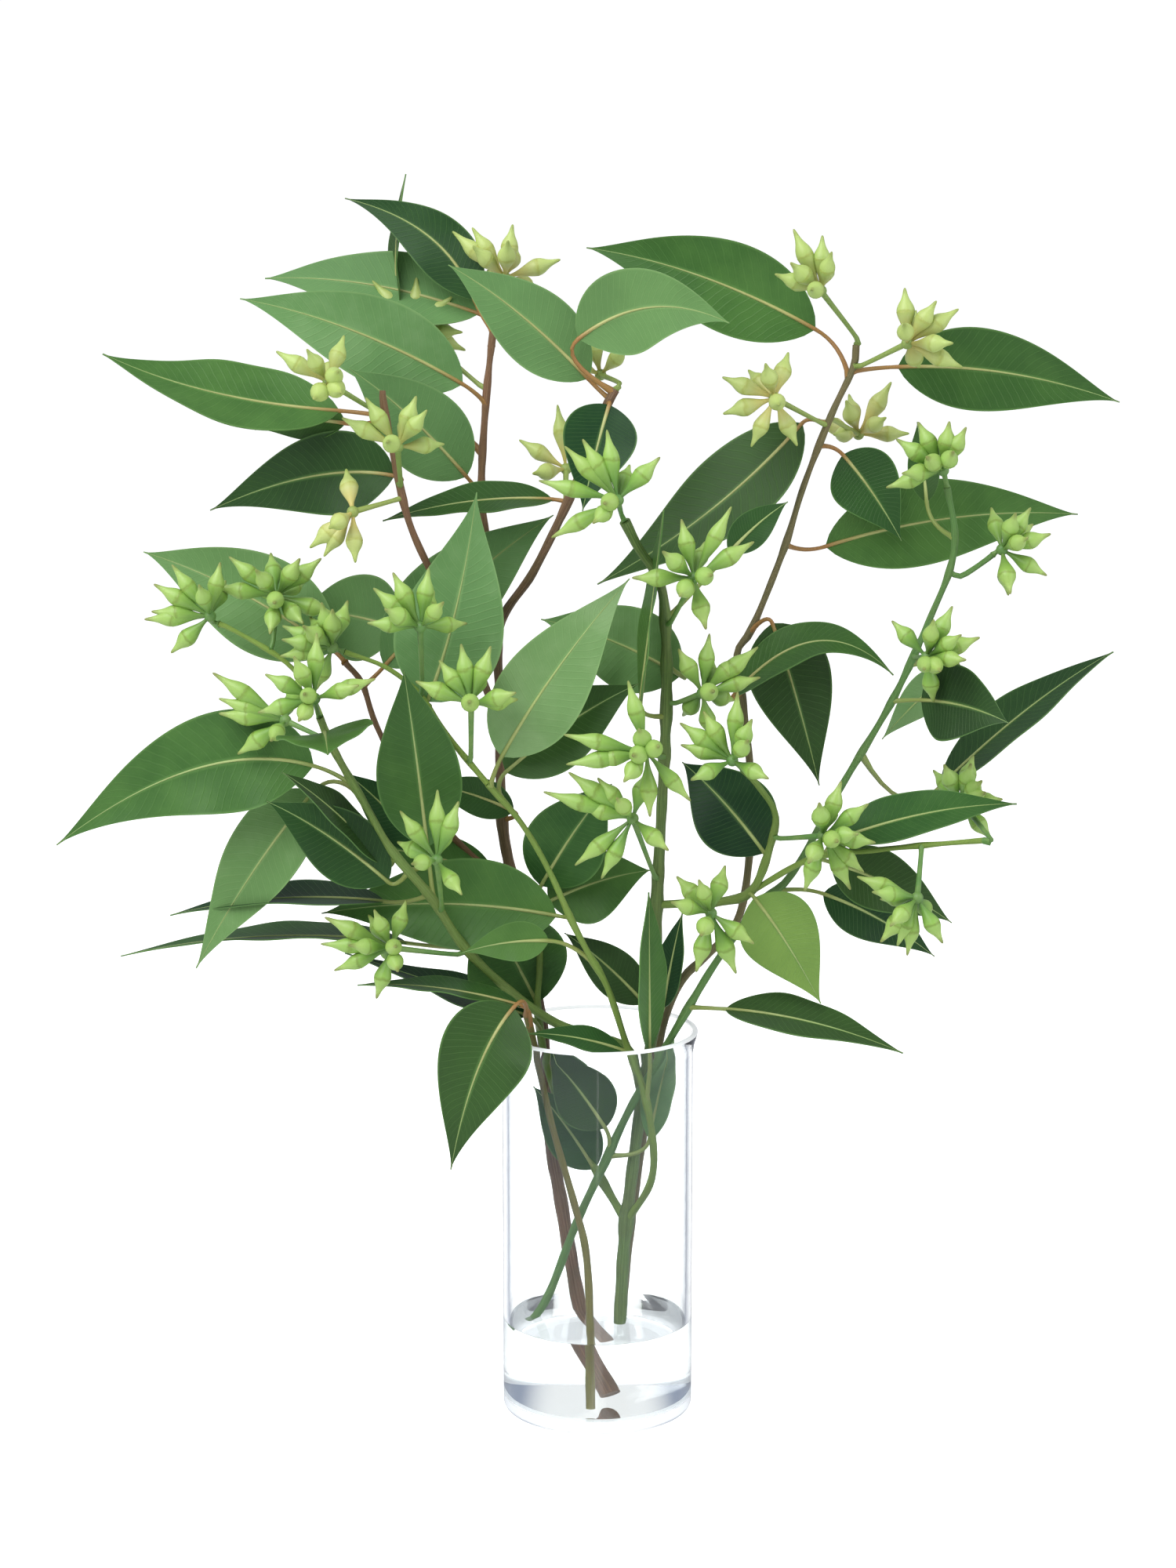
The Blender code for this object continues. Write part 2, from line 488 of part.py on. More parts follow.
def blade_line(leaf):
    """The ends and the middle handle of a blade's midrib."""
    base = place(*leaf.base)
    tip = place(*leaf.tip)
    if leaf.via:
        middle = place(*leaf.via)
    else:
        middle = (base + tip) / 2 + Vector((0, -0.4, 1)) * ((tip - base).length * LEAF_ARCH)
    return base, middle * 2 - (base + tip) / 2, tip


def bend_point(line, share):
    """A point on the bend with the given ends and handle."""
    base, handle, tip = line
    rest = 1 - share
    return base * (rest * rest) + handle * (2 * rest * share) + tip * (share * share)


def bend_direction(line, share):
    """The direction of the bend at a share of its length."""
    base, handle, tip = line
    return ((handle - base) * (1 - share) + (tip - handle) * share).normalized()


def make_leaf(name, leaf, path):
    """A lance-shaped blade, folded a little along its midrib, with its stalk out of the stem."""
    line = blade_line(leaf)
    stem_place = nearest(path, *leaf.node)[0]
    seen = leaf.width * PIXEL
    width = max(seen, min(LEAF_WIDTH, (line[2] - line[0]).length * LEAF_STOUTNESS))
    turn = math.acos(min(1.0, seen / width))
    side_up = (EYE - line[0]).cross(line[2] - line[0])
    tilt = leaf.tilt if side_up.z >= 0 else -leaf.tilt
    rows = len(LEAF_ROWS)
    bm = bmesh.new()
    bmesh.ops.create_grid(bm, x_segments=2, y_segments=rows, size=1.0)
    for vert in bm.verts:
        column = round(vert.co.x)
        row = round((vert.co.y + 1) / 2 * rows)
        if row == 0:
            centre = stem_place
            along = (line[0] - stem_place).normalized()
            half = PETIOLE_HALF
            fold = 0.0
        else:
            centre = bend_point(line, LEAF_ROWS[row - 1])
            along = bend_direction(line, LEAF_ROWS[row - 1])
            half = max(LEAF_END if row == rows else PETIOLE_HALF, width / 2 * blade_shape(LEAF_ROWS[row - 1]))
            fold = LEAF_FOLD
        viewer = (EYE - centre).normalized()
        facing = (viewer - along * viewer.dot(along)).normalized()
        normal = facing * math.cos(turn) + facing.cross(along) * (tilt * math.sin(turn))
        vert.co = centre + along.cross(normal) * (column * half) + normal * (abs(column) * fold * half)
    bmesh.ops.triangulate(bm, faces=bm.faces)
    bmesh.ops.solidify(bm, geom=bm.faces[:], thickness=LEAF_THICKNESS)
    return mesh_object(name, bm)


def make_sprig(name, paths, parts):
    """The stems of one sprig with their leaves, grown together."""
    pieces = []
    for stem_name, stem in STEMS.items():
        if stem.sprig == name:
            start, end = stem.radii
            pieces.append(tube(stem_name, paths[stem_name], start * MM, end * MM, 1))
    for leaf_name, leaf in LEAVES.items():
        if STEMS[leaf.stem].sprig == name:
            pieces.append(make_leaf(leaf_name, leaf, paths[leaf.stem]))
    add(fuse(name, pieces), "leaf_green", parts)


def bud_directions(head, middle, stalk):
    """The buds from base to point: those seen in the picture, then a few that fill the back."""
    away = Vector((0, -1, 0))
    directions = []
    for u, v in head.tips[:BUDS_SEEN]:
        flat = place(u, v, head.middle[2]) - middle
        forward = math.sqrt(max(0.0, BUD_LENGTH ** 2 - flat.length_squared))
        directions.append(flat + away * forward)
    for i in range(24):
        height = 1 - (i + 0.5) / 12
        angle = i * math.radians(137.5)
        ring = math.sqrt(1 - height * height)
        candidate = Vector((ring * math.cos(angle), ring * math.sin(angle), height))
        clear = all(candidate.angle(other) > BUD_SPACING for other in directions + [stalk])
        if clear and len(directions) < BUDS_IN_ALL:
            directions.append(candidate * BUD_LENGTH)
    return directions


def bud_mesh():
    """One bud along +Z: stalk, rounded cup and long pointed beak."""
    bm = bmesh.new()
    profile = [(radius, share * BUD_LENGTH) for radius, share in BUD_PROFILE] + [(0.0, BUD_LENGTH)]
    points = [bm.verts.new((radius, 0.0, height)) for radius, height in profile]
    edges = [bm.edges.new(pair) for pair in zip(points, points[1:])]
    bmesh.ops.spin(bm, geom=points + edges, axis=(0, 0, 1), cent=(0, 0, 0), angle=math.tau,
                   steps=BUD_SIDES, use_merge=True)
    bmesh.ops.remove_doubles(bm, verts=bm.verts, dist=0.00001)
    rim = [edge for edge in bm.edges if edge.is_boundary]
    bmesh.ops.holes_fill(bm, edges=rim)
    bmesh.ops.recalc_face_normals(bm, faces=bm.faces)
    mesh = bpy.data.meshes.new("bud")
    bm.to_mesh(mesh)
    bm.free()
    return mesh


def stalk_points(head, paths, middle):
    """The head's stalk, from just clear of its stem to the middle of the head."""
    path = paths[head.stem]
    point, along, share = nearest(path, *head.node)
    radii = STEMS[head.stem].radii
    radius = (radii[0] + (radii[1] - radii[0]) * share) * MM
    if share == 1:
        start = point + along * HOLE_GAP
        lead = start + along * STALK_LEAD
    else:
        out = middle - point
        out = (out - along * out.dot(along)).normalized()
        start = point + out * (radius + HOLE_GAP)
        lead = start + out * STALK_LEAD
    return [start, lead, middle]


def make_head(name, head, paths, shape, parts):
    """A head of buds on its stalk."""
    middle = place(*head.middle)
    points = stalk_points(head, paths, middle)
    pieces = [tube(name, points, PEDUNCLE_RADIUS * 0.8, PEDUNCLE_RADIUS, 0)]
    knob = bmesh.new()
    bmesh.ops.create_cube(knob, size=KNOB_SIZE, matrix=Matrix.Translation(middle))
    pieces.append(mesh_object(name + "_knob", knob))
    stalk = (points[1] - middle).normalized()
    for i, direction in enumerate(bud_directions(head, middle, stalk)):
        bud = bpy.data.objects.new(f"{name}_bud_{i}", shape.copy())
        turn = Matrix.Rotation(i * math.radians(137.5), 4, "Z")
        stretch = Matrix.Scale(direction.length / BUD_LENGTH, 4, (0, 0, 1))
        aim = direction.to_track_quat("Z", "Y").to_matrix().to_4x4()
        bud.data.transform(Matrix.Translation(middle) @ aim @ turn @ stretch)
        pieces.append(bud)
    add(fuse(name, pieces), "bud_green", parts)


def build():
    """Build every part of the object."""
    clear_scene()
    parts = bpy.data.collections.new(OBJECT_NAME)
    cutters = bpy.data.collections.new("cutters")
    bpy.context.scene.collection.children.link(parts)
    bpy.context.scene.collection.children.link(cutters)
    paths = stem_paths()
    make_vase(parts)
    feet = {}
    for name, stem in STEMS.items():
        if not isinstance(stem.start[0], str):
            path = paths[name]
            below = path[0] + (path[0] - path[1]).normalized() * HOLE_GAP
            feet[name] = ([below] + path[:5], stem.radii[0] * MM)
    make_water(parts, cutters, feet)
    for sprig in dict.fromkeys(stem.sprig for stem in STEMS.values()):
        make_sprig(sprig, paths, parts)
    shape = bud_mesh()
    for name, head in HEADS.items():
        make_head(name, head, paths, shape, parts)


build()
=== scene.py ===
# Eucalyptus sprigs with heads of beaked buds, in a clear glass cylinder with a little water
import math
import random

import bmesh
import bpy
from mathutils import Matrix, Vector


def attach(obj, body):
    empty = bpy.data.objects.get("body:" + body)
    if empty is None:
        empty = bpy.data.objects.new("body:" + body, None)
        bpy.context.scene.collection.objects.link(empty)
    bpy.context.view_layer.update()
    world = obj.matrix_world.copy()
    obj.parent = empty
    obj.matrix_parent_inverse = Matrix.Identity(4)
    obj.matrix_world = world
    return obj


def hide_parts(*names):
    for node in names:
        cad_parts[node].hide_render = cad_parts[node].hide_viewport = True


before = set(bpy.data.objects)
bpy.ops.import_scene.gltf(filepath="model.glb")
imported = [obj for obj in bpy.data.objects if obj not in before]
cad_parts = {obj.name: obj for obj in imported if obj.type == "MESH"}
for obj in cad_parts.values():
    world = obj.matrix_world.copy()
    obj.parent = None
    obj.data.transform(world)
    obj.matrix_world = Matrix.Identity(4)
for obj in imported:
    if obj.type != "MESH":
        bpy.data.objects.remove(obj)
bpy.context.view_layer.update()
print("frame loaded")

# A place is (u, v, toward): the pixel where it is seen in the 1500 by 2000 picture, and how many
# millimetres it stands in front of the vase's axis
picture = dict(middle=(750, 1000), wide=1500, focal=4350, eye=(-0.0049, -1.70, 0.63), pitch=10.04, sensor=36)
mm = 0.001
eye = Vector(picture["eye"])
pitch = math.radians(picture["pitch"])
ahead = Vector((0, math.cos(pitch), -math.sin(pitch)))
upward = Vector((0, math.sin(pitch), math.cos(pitch)))


def place(u, v, toward):
    ray = ahead + upward * ((picture["middle"][1] - v) / picture["focal"])
    ray.x += (u - picture["middle"][0]) / picture["focal"]
    return eye + ray * ((-toward * mm - eye.y) / ray.y)


def pixelOf(point):
    sight = point - eye
    depth = sight.dot(ahead)
    across = picture["focal"] * sight.x / depth
    rise = picture["focal"] * sight.dot(upward) / depth
    return Vector((picture["middle"][0] + across, picture["middle"][1] - rise))


def smoothLine(points, step):  # points about one step apart on a curve through the given ones
    ends = [points[0] * 2 - points[1]] + points + [points[-1] * 2 - points[-2]]
    line = []
    for a, b, c, d in zip(ends, ends[1:], ends[2:], ends[3:]):
        count = max(1, round((c - b).length / step))
        for i in range(count):
            t = i / count
            bend = (a * 2 - b * 5 + c * 4 - d) * t * t + (b * 3 - a - c * 3 + d) * t ** 3
            line.append((b * 2 + (c - a) * t + bend) * 0.5)
    line.append(points[-1])
    return line


def nearest(line, u, v):  # point of a line seen nearest to a pixel, its direction and its share
    target = Vector((u, v))
    found = []
    for i, (a, b) in enumerate(zip(line, line[1:])):
        middle = a.lerp(b, 0.5)
        share = (i + 0.5) / (len(line) - 1)
        found.append(((pixelOf(middle) - target).length, share, middle, (b - a).normalized()))
    found.append(((pixelOf(line[-1]) - target).length, 1.0, line[-1], (line[-1] - line[-2]).normalized()))
    distance, share, point, along = min(found, key=lambda item: item[0])
    return point, along, share


# Stems: radii in mm, then a foot in the vase as (x, toward, height) in mm or the stem it grows from
stems = {
    "olive": dict(sprig="sprig_olive", radii=(3.3, 2.3), start=(11.5, 5, 43), path=[
        (795, 1600, 5), (803, 1520, 5), (820, 1390, 0), (835, 1290, 0), (838, 1150, 5), (843, 1050, 10),
        (850, 900, 20), (848, 780, 25), (838, 735, 28), (815, 700, 32), (797, 665, 38)]),
    "oliveLeft": dict(sprig="sprig_olive", radii=(2.2, 1.5), start=("olive", 797, 1555), path=[
        (765, 1500, -2), (725, 1430, -5), (700, 1370, -5), (686, 1290, -4), (688, 1240, -5),
        (690, 1150, -8)]),
    "greenLong": dict(sprig="sprig_olive", radii=(1.9, 1.4), start=("olive", 806, 1556), path=[
        (828, 1510, 20), (832, 1460, 26), (820, 1390, 27), (800, 1335, 27), (775, 1260, 32),
        (750, 1215, 38), (728, 1172, 40), (700, 1110, 40), (665, 1050, 40), (622, 1000, 42)]),
    "greenLongLeft": dict(sprig="sprig_olive", radii=(1.4, 1.1), start=("greenLong", 622, 1000), path=[
        (580, 950, 38), (555, 915, 34), (530, 880, 32), (490, 850, 32), (440, 832, 31)]),
    "greenThick": dict(sprig="sprig_olive", radii=(2.6, 1.6), start=("olive", 820, 1390), path=[
        (800, 1338, 13), (750, 1320, 14), (700, 1300, 12), (640, 1255, 14), (590, 1205, 22),
        (550, 1145, 28), (500, 1085, 35), (465, 1025, 40), (425, 955, 48), (408, 915, 58)]),
    "greenFarLeft": dict(sprig="sprig_olive", radii=(1.3, 1.1), start=("greenThick", 425, 952), path=[
        (398, 888, 34), (365, 845, 33), (300, 805, 30), (280, 796, 28)]),
    "sideRight": dict(sprig="sprig_olive", radii=(2.2, 1.4), start=("olive", 838, 1158), path=[
        (880, 1152, 10), (920, 1150, 15), (960, 1135, 20), (985, 1070, 25), (988, 1035, 28),
        (965, 1000, 36), (948, 982, 41)]),
    "sideRightOuter": dict(sprig="sprig_olive", radii=(1.6, 1.2), start=("sideRight", 950, 1145), path=[
        (1035, 1095, 25), (1110, 1085, 30), (1180, 1078, 35), (1255, 1072, 40)]),
    "brown": dict(sprig="sprig_brown", radii=(4.0, 1.8), start=(5, 2, 10.8), path=[
        (745, 1690, -12), (727, 1600, -14), (715, 1530, -15), (700, 1440, -17), (690, 1300, -18),
        (655, 1130, -25), (640, 1040, -25), (638, 900, -25), (637, 800, -20), (680, 730, -12),
        (722, 645, -10), (755, 565, -4), (775, 515, 0), (785, 497, 0)]),
    "brownMiddle": dict(sprig="sprig_brown", radii=(2.2, 1.4), start=("brown", 638, 820), path=[
        (622, 700, -35), (614, 625, -40), (620, 510, -40), (628, 430, -40), (632, 395, -39)]),
    "brownLeft": dict(sprig="sprig_brown", radii=(2.2, 1.5), start=("brown", 638, 920), path=[
        (600, 830, 0), (560, 750, 10), (525, 675, 15), (508, 610, 18), (490, 520, 20), (488, 498, 20)]),
    "brownLowLeft": dict(sprig="sprig_brown", radii=(2.0, 1.3), start=("brown", 655, 1130), path=[
        (590, 1080, -30), (520, 1000, -20), (480, 925, -10), (462, 872, -5), (440, 845, 0)]),
    "right": dict(sprig="sprig_right", radii=(2.2, 1.5), start=(-36, 0, 43), path=[
        (700, 1650, 1), (735, 1560, 6), (770, 1485, 10), (805, 1410, 14), (855, 1325, 20),
        (905, 1240, 18), (940, 1190, 10), (970, 1150, 2), (1010, 1115, -3), (1075, 1000, -5),
        (1140, 890, -5), (1190, 780, -5), (1212, 725, -5), (1218, 680, -5), (1208, 622, -3)]),
    "rightFork": dict(sprig="sprig_right", radii=(1.5, 1.2), start=("right", 1212, 725), path=[
        (1225, 735, -5), (1250, 720, -5), (1266, 708, -5)]),
    "tallRight": dict(sprig="sprig_tall_right", radii=(2.6, 1.4), start=(13, -18, 42), path=[
        (800, 1600, -18), (820, 1450, -18), (845, 1310, -16), (870, 1250, -12), (900, 1220, -12),
        (940, 1175, -15), (955, 1100, -18), (958, 1000, -20), (948, 900, -18), (940, 835, -20),
        (960, 800, -22), (1000, 700, -25), (1025, 620, -25), (1060, 530, -25), (1088, 470, -25),
        (1092, 440, -25)]),
    "lowLeft": dict(sprig="twig_low_left", radii=(2.2, 1.5), start=(-3, 22, 8.5), path=[
        (753, 1697, 22), (748, 1600, 22), (733, 1535, 23), (705, 1435, 24), (685, 1345, 24),
        (672, 1295, 26)]),
}

stemLook = dict(step=0.004, sides=14, swelling=0.28, swellingReach=0.006, wander=0.05, wanderRate=260,
                oldRadius=3.3)
glass = dict(height=0.202, wall=0.049, rim=0.0515, thick=0.003, floor=0.006, corner=0.004, cornerSteps=8,
             lip=0.012, flare=0.0008, flareAt=0.005, lipSteps=10, dish=0.0006, soleBright=0.0014,
             rimBright=0.0024, steps=128)
water = dict(level=0.048, overlap=0.0001, rise=0.0006, riseWidth=0.003,
             rising=((1, 0), (0.4, 0.2), (0.12, 0.55), (0, 1)))


def stemLines():
    lines = {}
    for name, stem in stems.items():
        start = stem["start"]
        if isinstance(start[0], str):
            first = nearest(lines[start[0]], start[1], start[2])[0]
        else:
            first = Vector((start[0], -start[1], start[2])) * mm
        lines[name] = smoothLine([first] + [place(*spot) for spot in stem["path"]], stemLook["step"])
    return lines


# Each leaf: stem, pixel of its node, base, tip, width seen in pixels, tone from dark to pale, and
# for some a place that the midrib passes. Its name also sets its own waves and tint
# Each tone holds the leaf's own green and also painted shade: leaves that lie in shadow get darker tones
leaves = {
    "01": ("brownMiddle", (628, 425), (605, 382, -46), (440, 253, -62), 76, 0.1, (545, 300, -54)),
    "02": ("brownMiddle", (627, 440), (610, 400, -54), (338, 355, -80), 90, 0.6),
    "02b": ("brownMiddle", (616, 575), (512, 400, -68), (517, 222, -72), 12, 0.2, (505, 320, -66)),
    "03": ("brownMiddle", (619, 515), (590, 490, -35), (306, 381, -30), 108, 0.65),
    "04": ("brown", (780, 508), (750, 483, -5), (572, 338, 10), 95, 0.6),
    "05": ("brown", (783, 502), (738, 432, 8), (930, 412, 44), 105, 0.6, (830, 392, 18)),
    "06": ("brownLeft", (490, 530), (433, 524, 8), (131, 451, 20), 78, 0.5, (270, 500, 14)),
    "07": ("brownLeft", (492, 535), (440, 540, 0), (325, 548, -30), 50, 0.4),
    "08": ("brownLeft", (508, 612), (503, 607, 5), (268, 651, -20), 105, 0.15, (395, 608, -5)),
    "09": ("brownMiddle", (614, 628), (595, 608, -38), (445, 470, -15), 105, 0.6),
    "10": ("brown", (775, 518), (777, 516, 5), (743, 652, 20), 92, 0.08),
    "18": ("brown", (722, 645), (705, 637, -12), (488, 664, -10), 38, 0.25),
    "19": ("brownLowLeft", (462, 872), (490, 850, -10), (706, 657, -25), 112, 0.62),
    "21": ("brownLowLeft", (440, 845), (425, 830, -5), (183, 704, -25), 124, 0.65),
    "22": ("brownLeft", (570, 770), (510, 803, -15), (380, 780, -35), 112, 0.6),
    "59": ("brown", (653, 1120), (630, 1118, -27), (455, 1080, -24), 60, 0.5),
    "60": ("brown", (640, 1050), (655, 1035, -15), (540, 1000, -5), 50, 0.2),
    "20": ("greenLongLeft", (548, 905), (545, 895, 30), (608, 628, 14), 134, 0.65, (582, 775, 24)),
    "23": ("greenThick", (455, 1005), (400, 977, 35), (72, 1078, 30), 128, 0.5, (245, 982, 34)),
    "24": ("greenThick", (425, 955), (414, 934, 64), (418, 962, 104), 118, 0.5),
    "25": ("greenThick", (458, 1012), (400, 1010, 20), (250, 1235, 10), 95, 0.65),
    "26": ("greenThick", (500, 1085), (490, 1100, 20), (360, 985, 55), 35, 0.15),
    "27": ("greenThick", (520, 1110), (495, 1125, 28), (340, 1022, 42), 88, 0.2),
    "28": ("greenThick", (545, 1140), (490, 1150, 15), (217, 1167, 0), 30, 0.1),
    "29": ("greenThick", (590, 1205), (520, 1203, -5), (154, 1219, -20), 22, 0.3),
    "30": ("greenLong", (728, 1172), (710, 1168, 20), (410, 1165, -4), 118, 0.56),
    "31": ("greenLong", (762, 1232), (700, 1200, 38), (590, 1215, 40), 50, 0.55),
    "32": ("oliveLeft", (686, 1292), (685, 1280, -8), (610, 1150, -12), 134, 0.5),
    "34": ("oliveLeft", (688, 1310), (672, 1296, 2), (440, 1215, -20), 45, 0.1, (590, 1266, -8)),
    "36": ("greenLong", (806, 1350), (795, 1340, 28), (674, 1318, 36), 30, 0.3),
    "38": ("oliveLeft", (766, 1502), (758, 1490, -2), (680, 1385, -2), 70, 0.35),
    "41": ("sideRight", (958, 1137), (962, 1145, 24), (1047, 1280, 35), 98, 0.93),
    "42": ("sideRight", (978, 1100), (975, 1088, 15), (870, 972, -8), 105, 0.05),
    "45": ("sideRightOuter", (1040, 1094), (1060, 1100, 20), (1214, 1177, 15), 78, 0.1),
    "46": ("sideRightOuter", (1050, 1092), (1070, 1070, 25), (1297, 1025, 20), 58, 0.35),
    "53": ("greenLong", (632, 1003), (640, 965, 44), (803, 738, 45), 108, 0.75, (712, 852, 50)),
    "54": ("olive", (848, 850), (868, 862, 8), (690, 790, 15), 105, 0.65),
    "55": ("greenLong", (640, 1012), (645, 985, 32), (815, 872, 30), 95, 0.3),
    "56": ("greenThick", (550, 1145), (545, 1080, 32), (515, 855, 58), 105, 0.45),
    "58": ("greenThick", (520, 1110), (540, 1085, 12), (440, 985, 5), 60, 0.15),
    "61": ("oliveLeft", (690, 1152), (690, 1130, 0), (780, 1000, 15), 104, 0.4),
    "62": ("oliveLeft", (690, 1180), (700, 1150, -6), (830, 1110, -12), 98, 0.48),
    "63": ("olive", (835, 1292), (822, 1280, -8), (720, 1190, -20), 60, 0.1),
    "65": ("greenLong", (824, 1405), (828, 1340, 32), (828, 1138, 30), 35, 0.55),
    "66": ("olive", (835, 1295), (846, 1285, 6), (870, 1165, 12), 35, 0.1),
    "67": ("olive", (850, 915), (817, 895, 32), (846, 650, 38), 14, 0.5, (832, 770, 36)),
    "68": ("olive", (848, 788), (930, 705, 20), (1005, 640, 10), 45, 0.2),
    "16": ("right", (1213, 690), (1182, 640, -24), (1170, 538, -34), 40, 0.2),
    "37": ("right", (776, 1472), (772, 1438, 14), (700, 1345, 15), 78, 0.05),
    "39": ("right", (778, 1470), (828, 1452, 12), (860, 1314, 8), 38, 0.7),
    "40": ("right", (880, 1288), (925, 1287, 30), (1152, 1343, 45), 48, 0.15),
    "44": ("right", (985, 1138), (1050, 1140, -5), (1192, 1220, -15), 70, 0.1),
    "47": ("right", (1100, 960), (1200, 1003, -44), (1420, 831, -52), 55, 0.15),
    "48": ("right", (1143, 893), (1175, 893, 5), (1286, 922, 45), 98, 0.05),
    "49": ("right", (1162, 850), (1215, 857, -25), (1125, 943, -32), 50, 0.75),
    "11": ("tallRight", (1056, 540), (1023, 540, -28), (762, 745, -5), 100, 0.2, (905, 652, -22)),
    "12": ("tallRight", (1083, 480), (1040, 420, -44), (748, 316, -55), 115, 0.5),
    "13": ("tallRight", (1088, 472), (1145, 468, -38), (1428, 513, -42), 105, 0.35),
    "14": ("tallRight", (1002, 698), (1053, 697, -40), (1375, 656, -62), 110, 0.5),
    "15": ("tallRight", (1048, 566), (1075, 580, -32), (1150, 690, -26), 88, 0.25),
    "50": ("tallRight", (955, 808), (985, 795, -15), (1045, 1002, -12), 105, 0.1),
    "51": ("tallRight", (946, 880), (935, 888, -6), (1140, 861, 8), 48, 0.35, (1040, 818, 2)),
    "33": ("lowLeft", (675, 1305), (665, 1283, 30), (456, 1256, 20), 22, 0.35),
    "35": ("lowLeft", (673, 1297), (655, 1285, 46), (575, 1492, 58), 114, 0.16, (608, 1368, 56)),
}

leafLook = dict(pixel=0.0004, width=0.044, stoutness=0.36, thickness=0.0006, fold=0.15, rise=0.75,
                drawnOut=1.42, arch=0.05, wave=0.055, twist=0.16, columns=12, rows=40, end=0.0003,
                petioleRows=8, petioleBow=0.45, petiole=(0.00125, 0.00095), petioleFoot=0.0009,
                ribSides=8, ribEnd=0.00012, ribRoot=0.0002, paleFrom=0.59, vividFrom=0.9)


def toMesh(name, bm):
    mesh = bpy.data.meshes.new(name)
    bm.to_mesh(mesh)
    bm.free()
    return mesh


def toScene(name, data):
    item = bpy.data.objects.new(name, data)
    bpy.context.scene.collection.objects.link(item)
    return item


def newSheet():  # an empty bmesh with the layers that the materials read
    bm = bmesh.new()
    layers = dict(uv=bm.loops.layers.uv.new("along"), tone=bm.verts.layers.float.new("tone"),
                  tint=bm.verts.layers.float.new("tint"))
    return bm, layers


# A grid laid out by spot(across, along), both from 0 to 1
def addGrid(bm, layers, columns, rows, spot, slotIndex, tone, tint):
    verts = bmesh.ops.create_grid(bm, x_segments=columns, y_segments=rows, size=0.5)["verts"]
    faces = list({face for vert in verts for face in vert.link_faces})
    for face in faces:
        face.material_index = slotIndex
        face.smooth = True
        for loop in face.loops:
            loop[layers["uv"]].uv = (loop.vert.co.x + 0.5, loop.vert.co.y + 0.5)
    for vert in verts:
        vert[layers["tone"]] = tone
        vert[layers["tint"]] = tint
        vert.co = spot(vert.co.x + 0.5, vert.co.y + 0.5)
    return verts, faces


def addTube(bm, layers, line, radiusAt, sides, slotIndex, tone, tint):  # a grid rolled up along a line
    reach = (line[-1] - line[0]).normalized()
    guides = (Vector((0, -1, 0)), Vector((1, 0, 0)), Vector((0, 0, 1)))
    guide = min(guides, key=lambda axis: abs(axis.dot(reach)))
    last = len(line) - 1

    def spot(across, along):
        row = round(along * last)
        heading = (line[min(row + 1, last)] - line[max(row - 1, 0)]).normalized()
        side = (guide - heading * guide.dot(heading)).normalized()
        angle = across * math.tau
        return line[row] + (side * math.cos(angle) + heading.cross(side) * math.sin(angle)) * radiusAt(along)

    verts, faces = addGrid(bm, layers, sides, last, spot, slotIndex, tone, tint)
    bmesh.ops.remove_doubles(bm, verts=verts, dist=0.000001)
    faces = [face for face in faces if face.is_valid]
    rims = list({edge for face in faces for edge in face.edges if edge.is_boundary})
    caps = bmesh.ops.holes_fill(bm, edges=rims)["faces"]
    for cap in caps:
        cap.material_index = slotIndex
    bmesh.ops.recalc_face_normals(bm, faces=faces + caps)


def bladeWidth(share):  # half width as a share of the widest
    widest = leafLook["rise"] / (leafLook["rise"] + leafLook["drawnOut"])
    rise = (share / widest) ** leafLook["rise"]
    return rise * ((1 - share) / (1 - widest)) ** leafLook["drawnOut"]


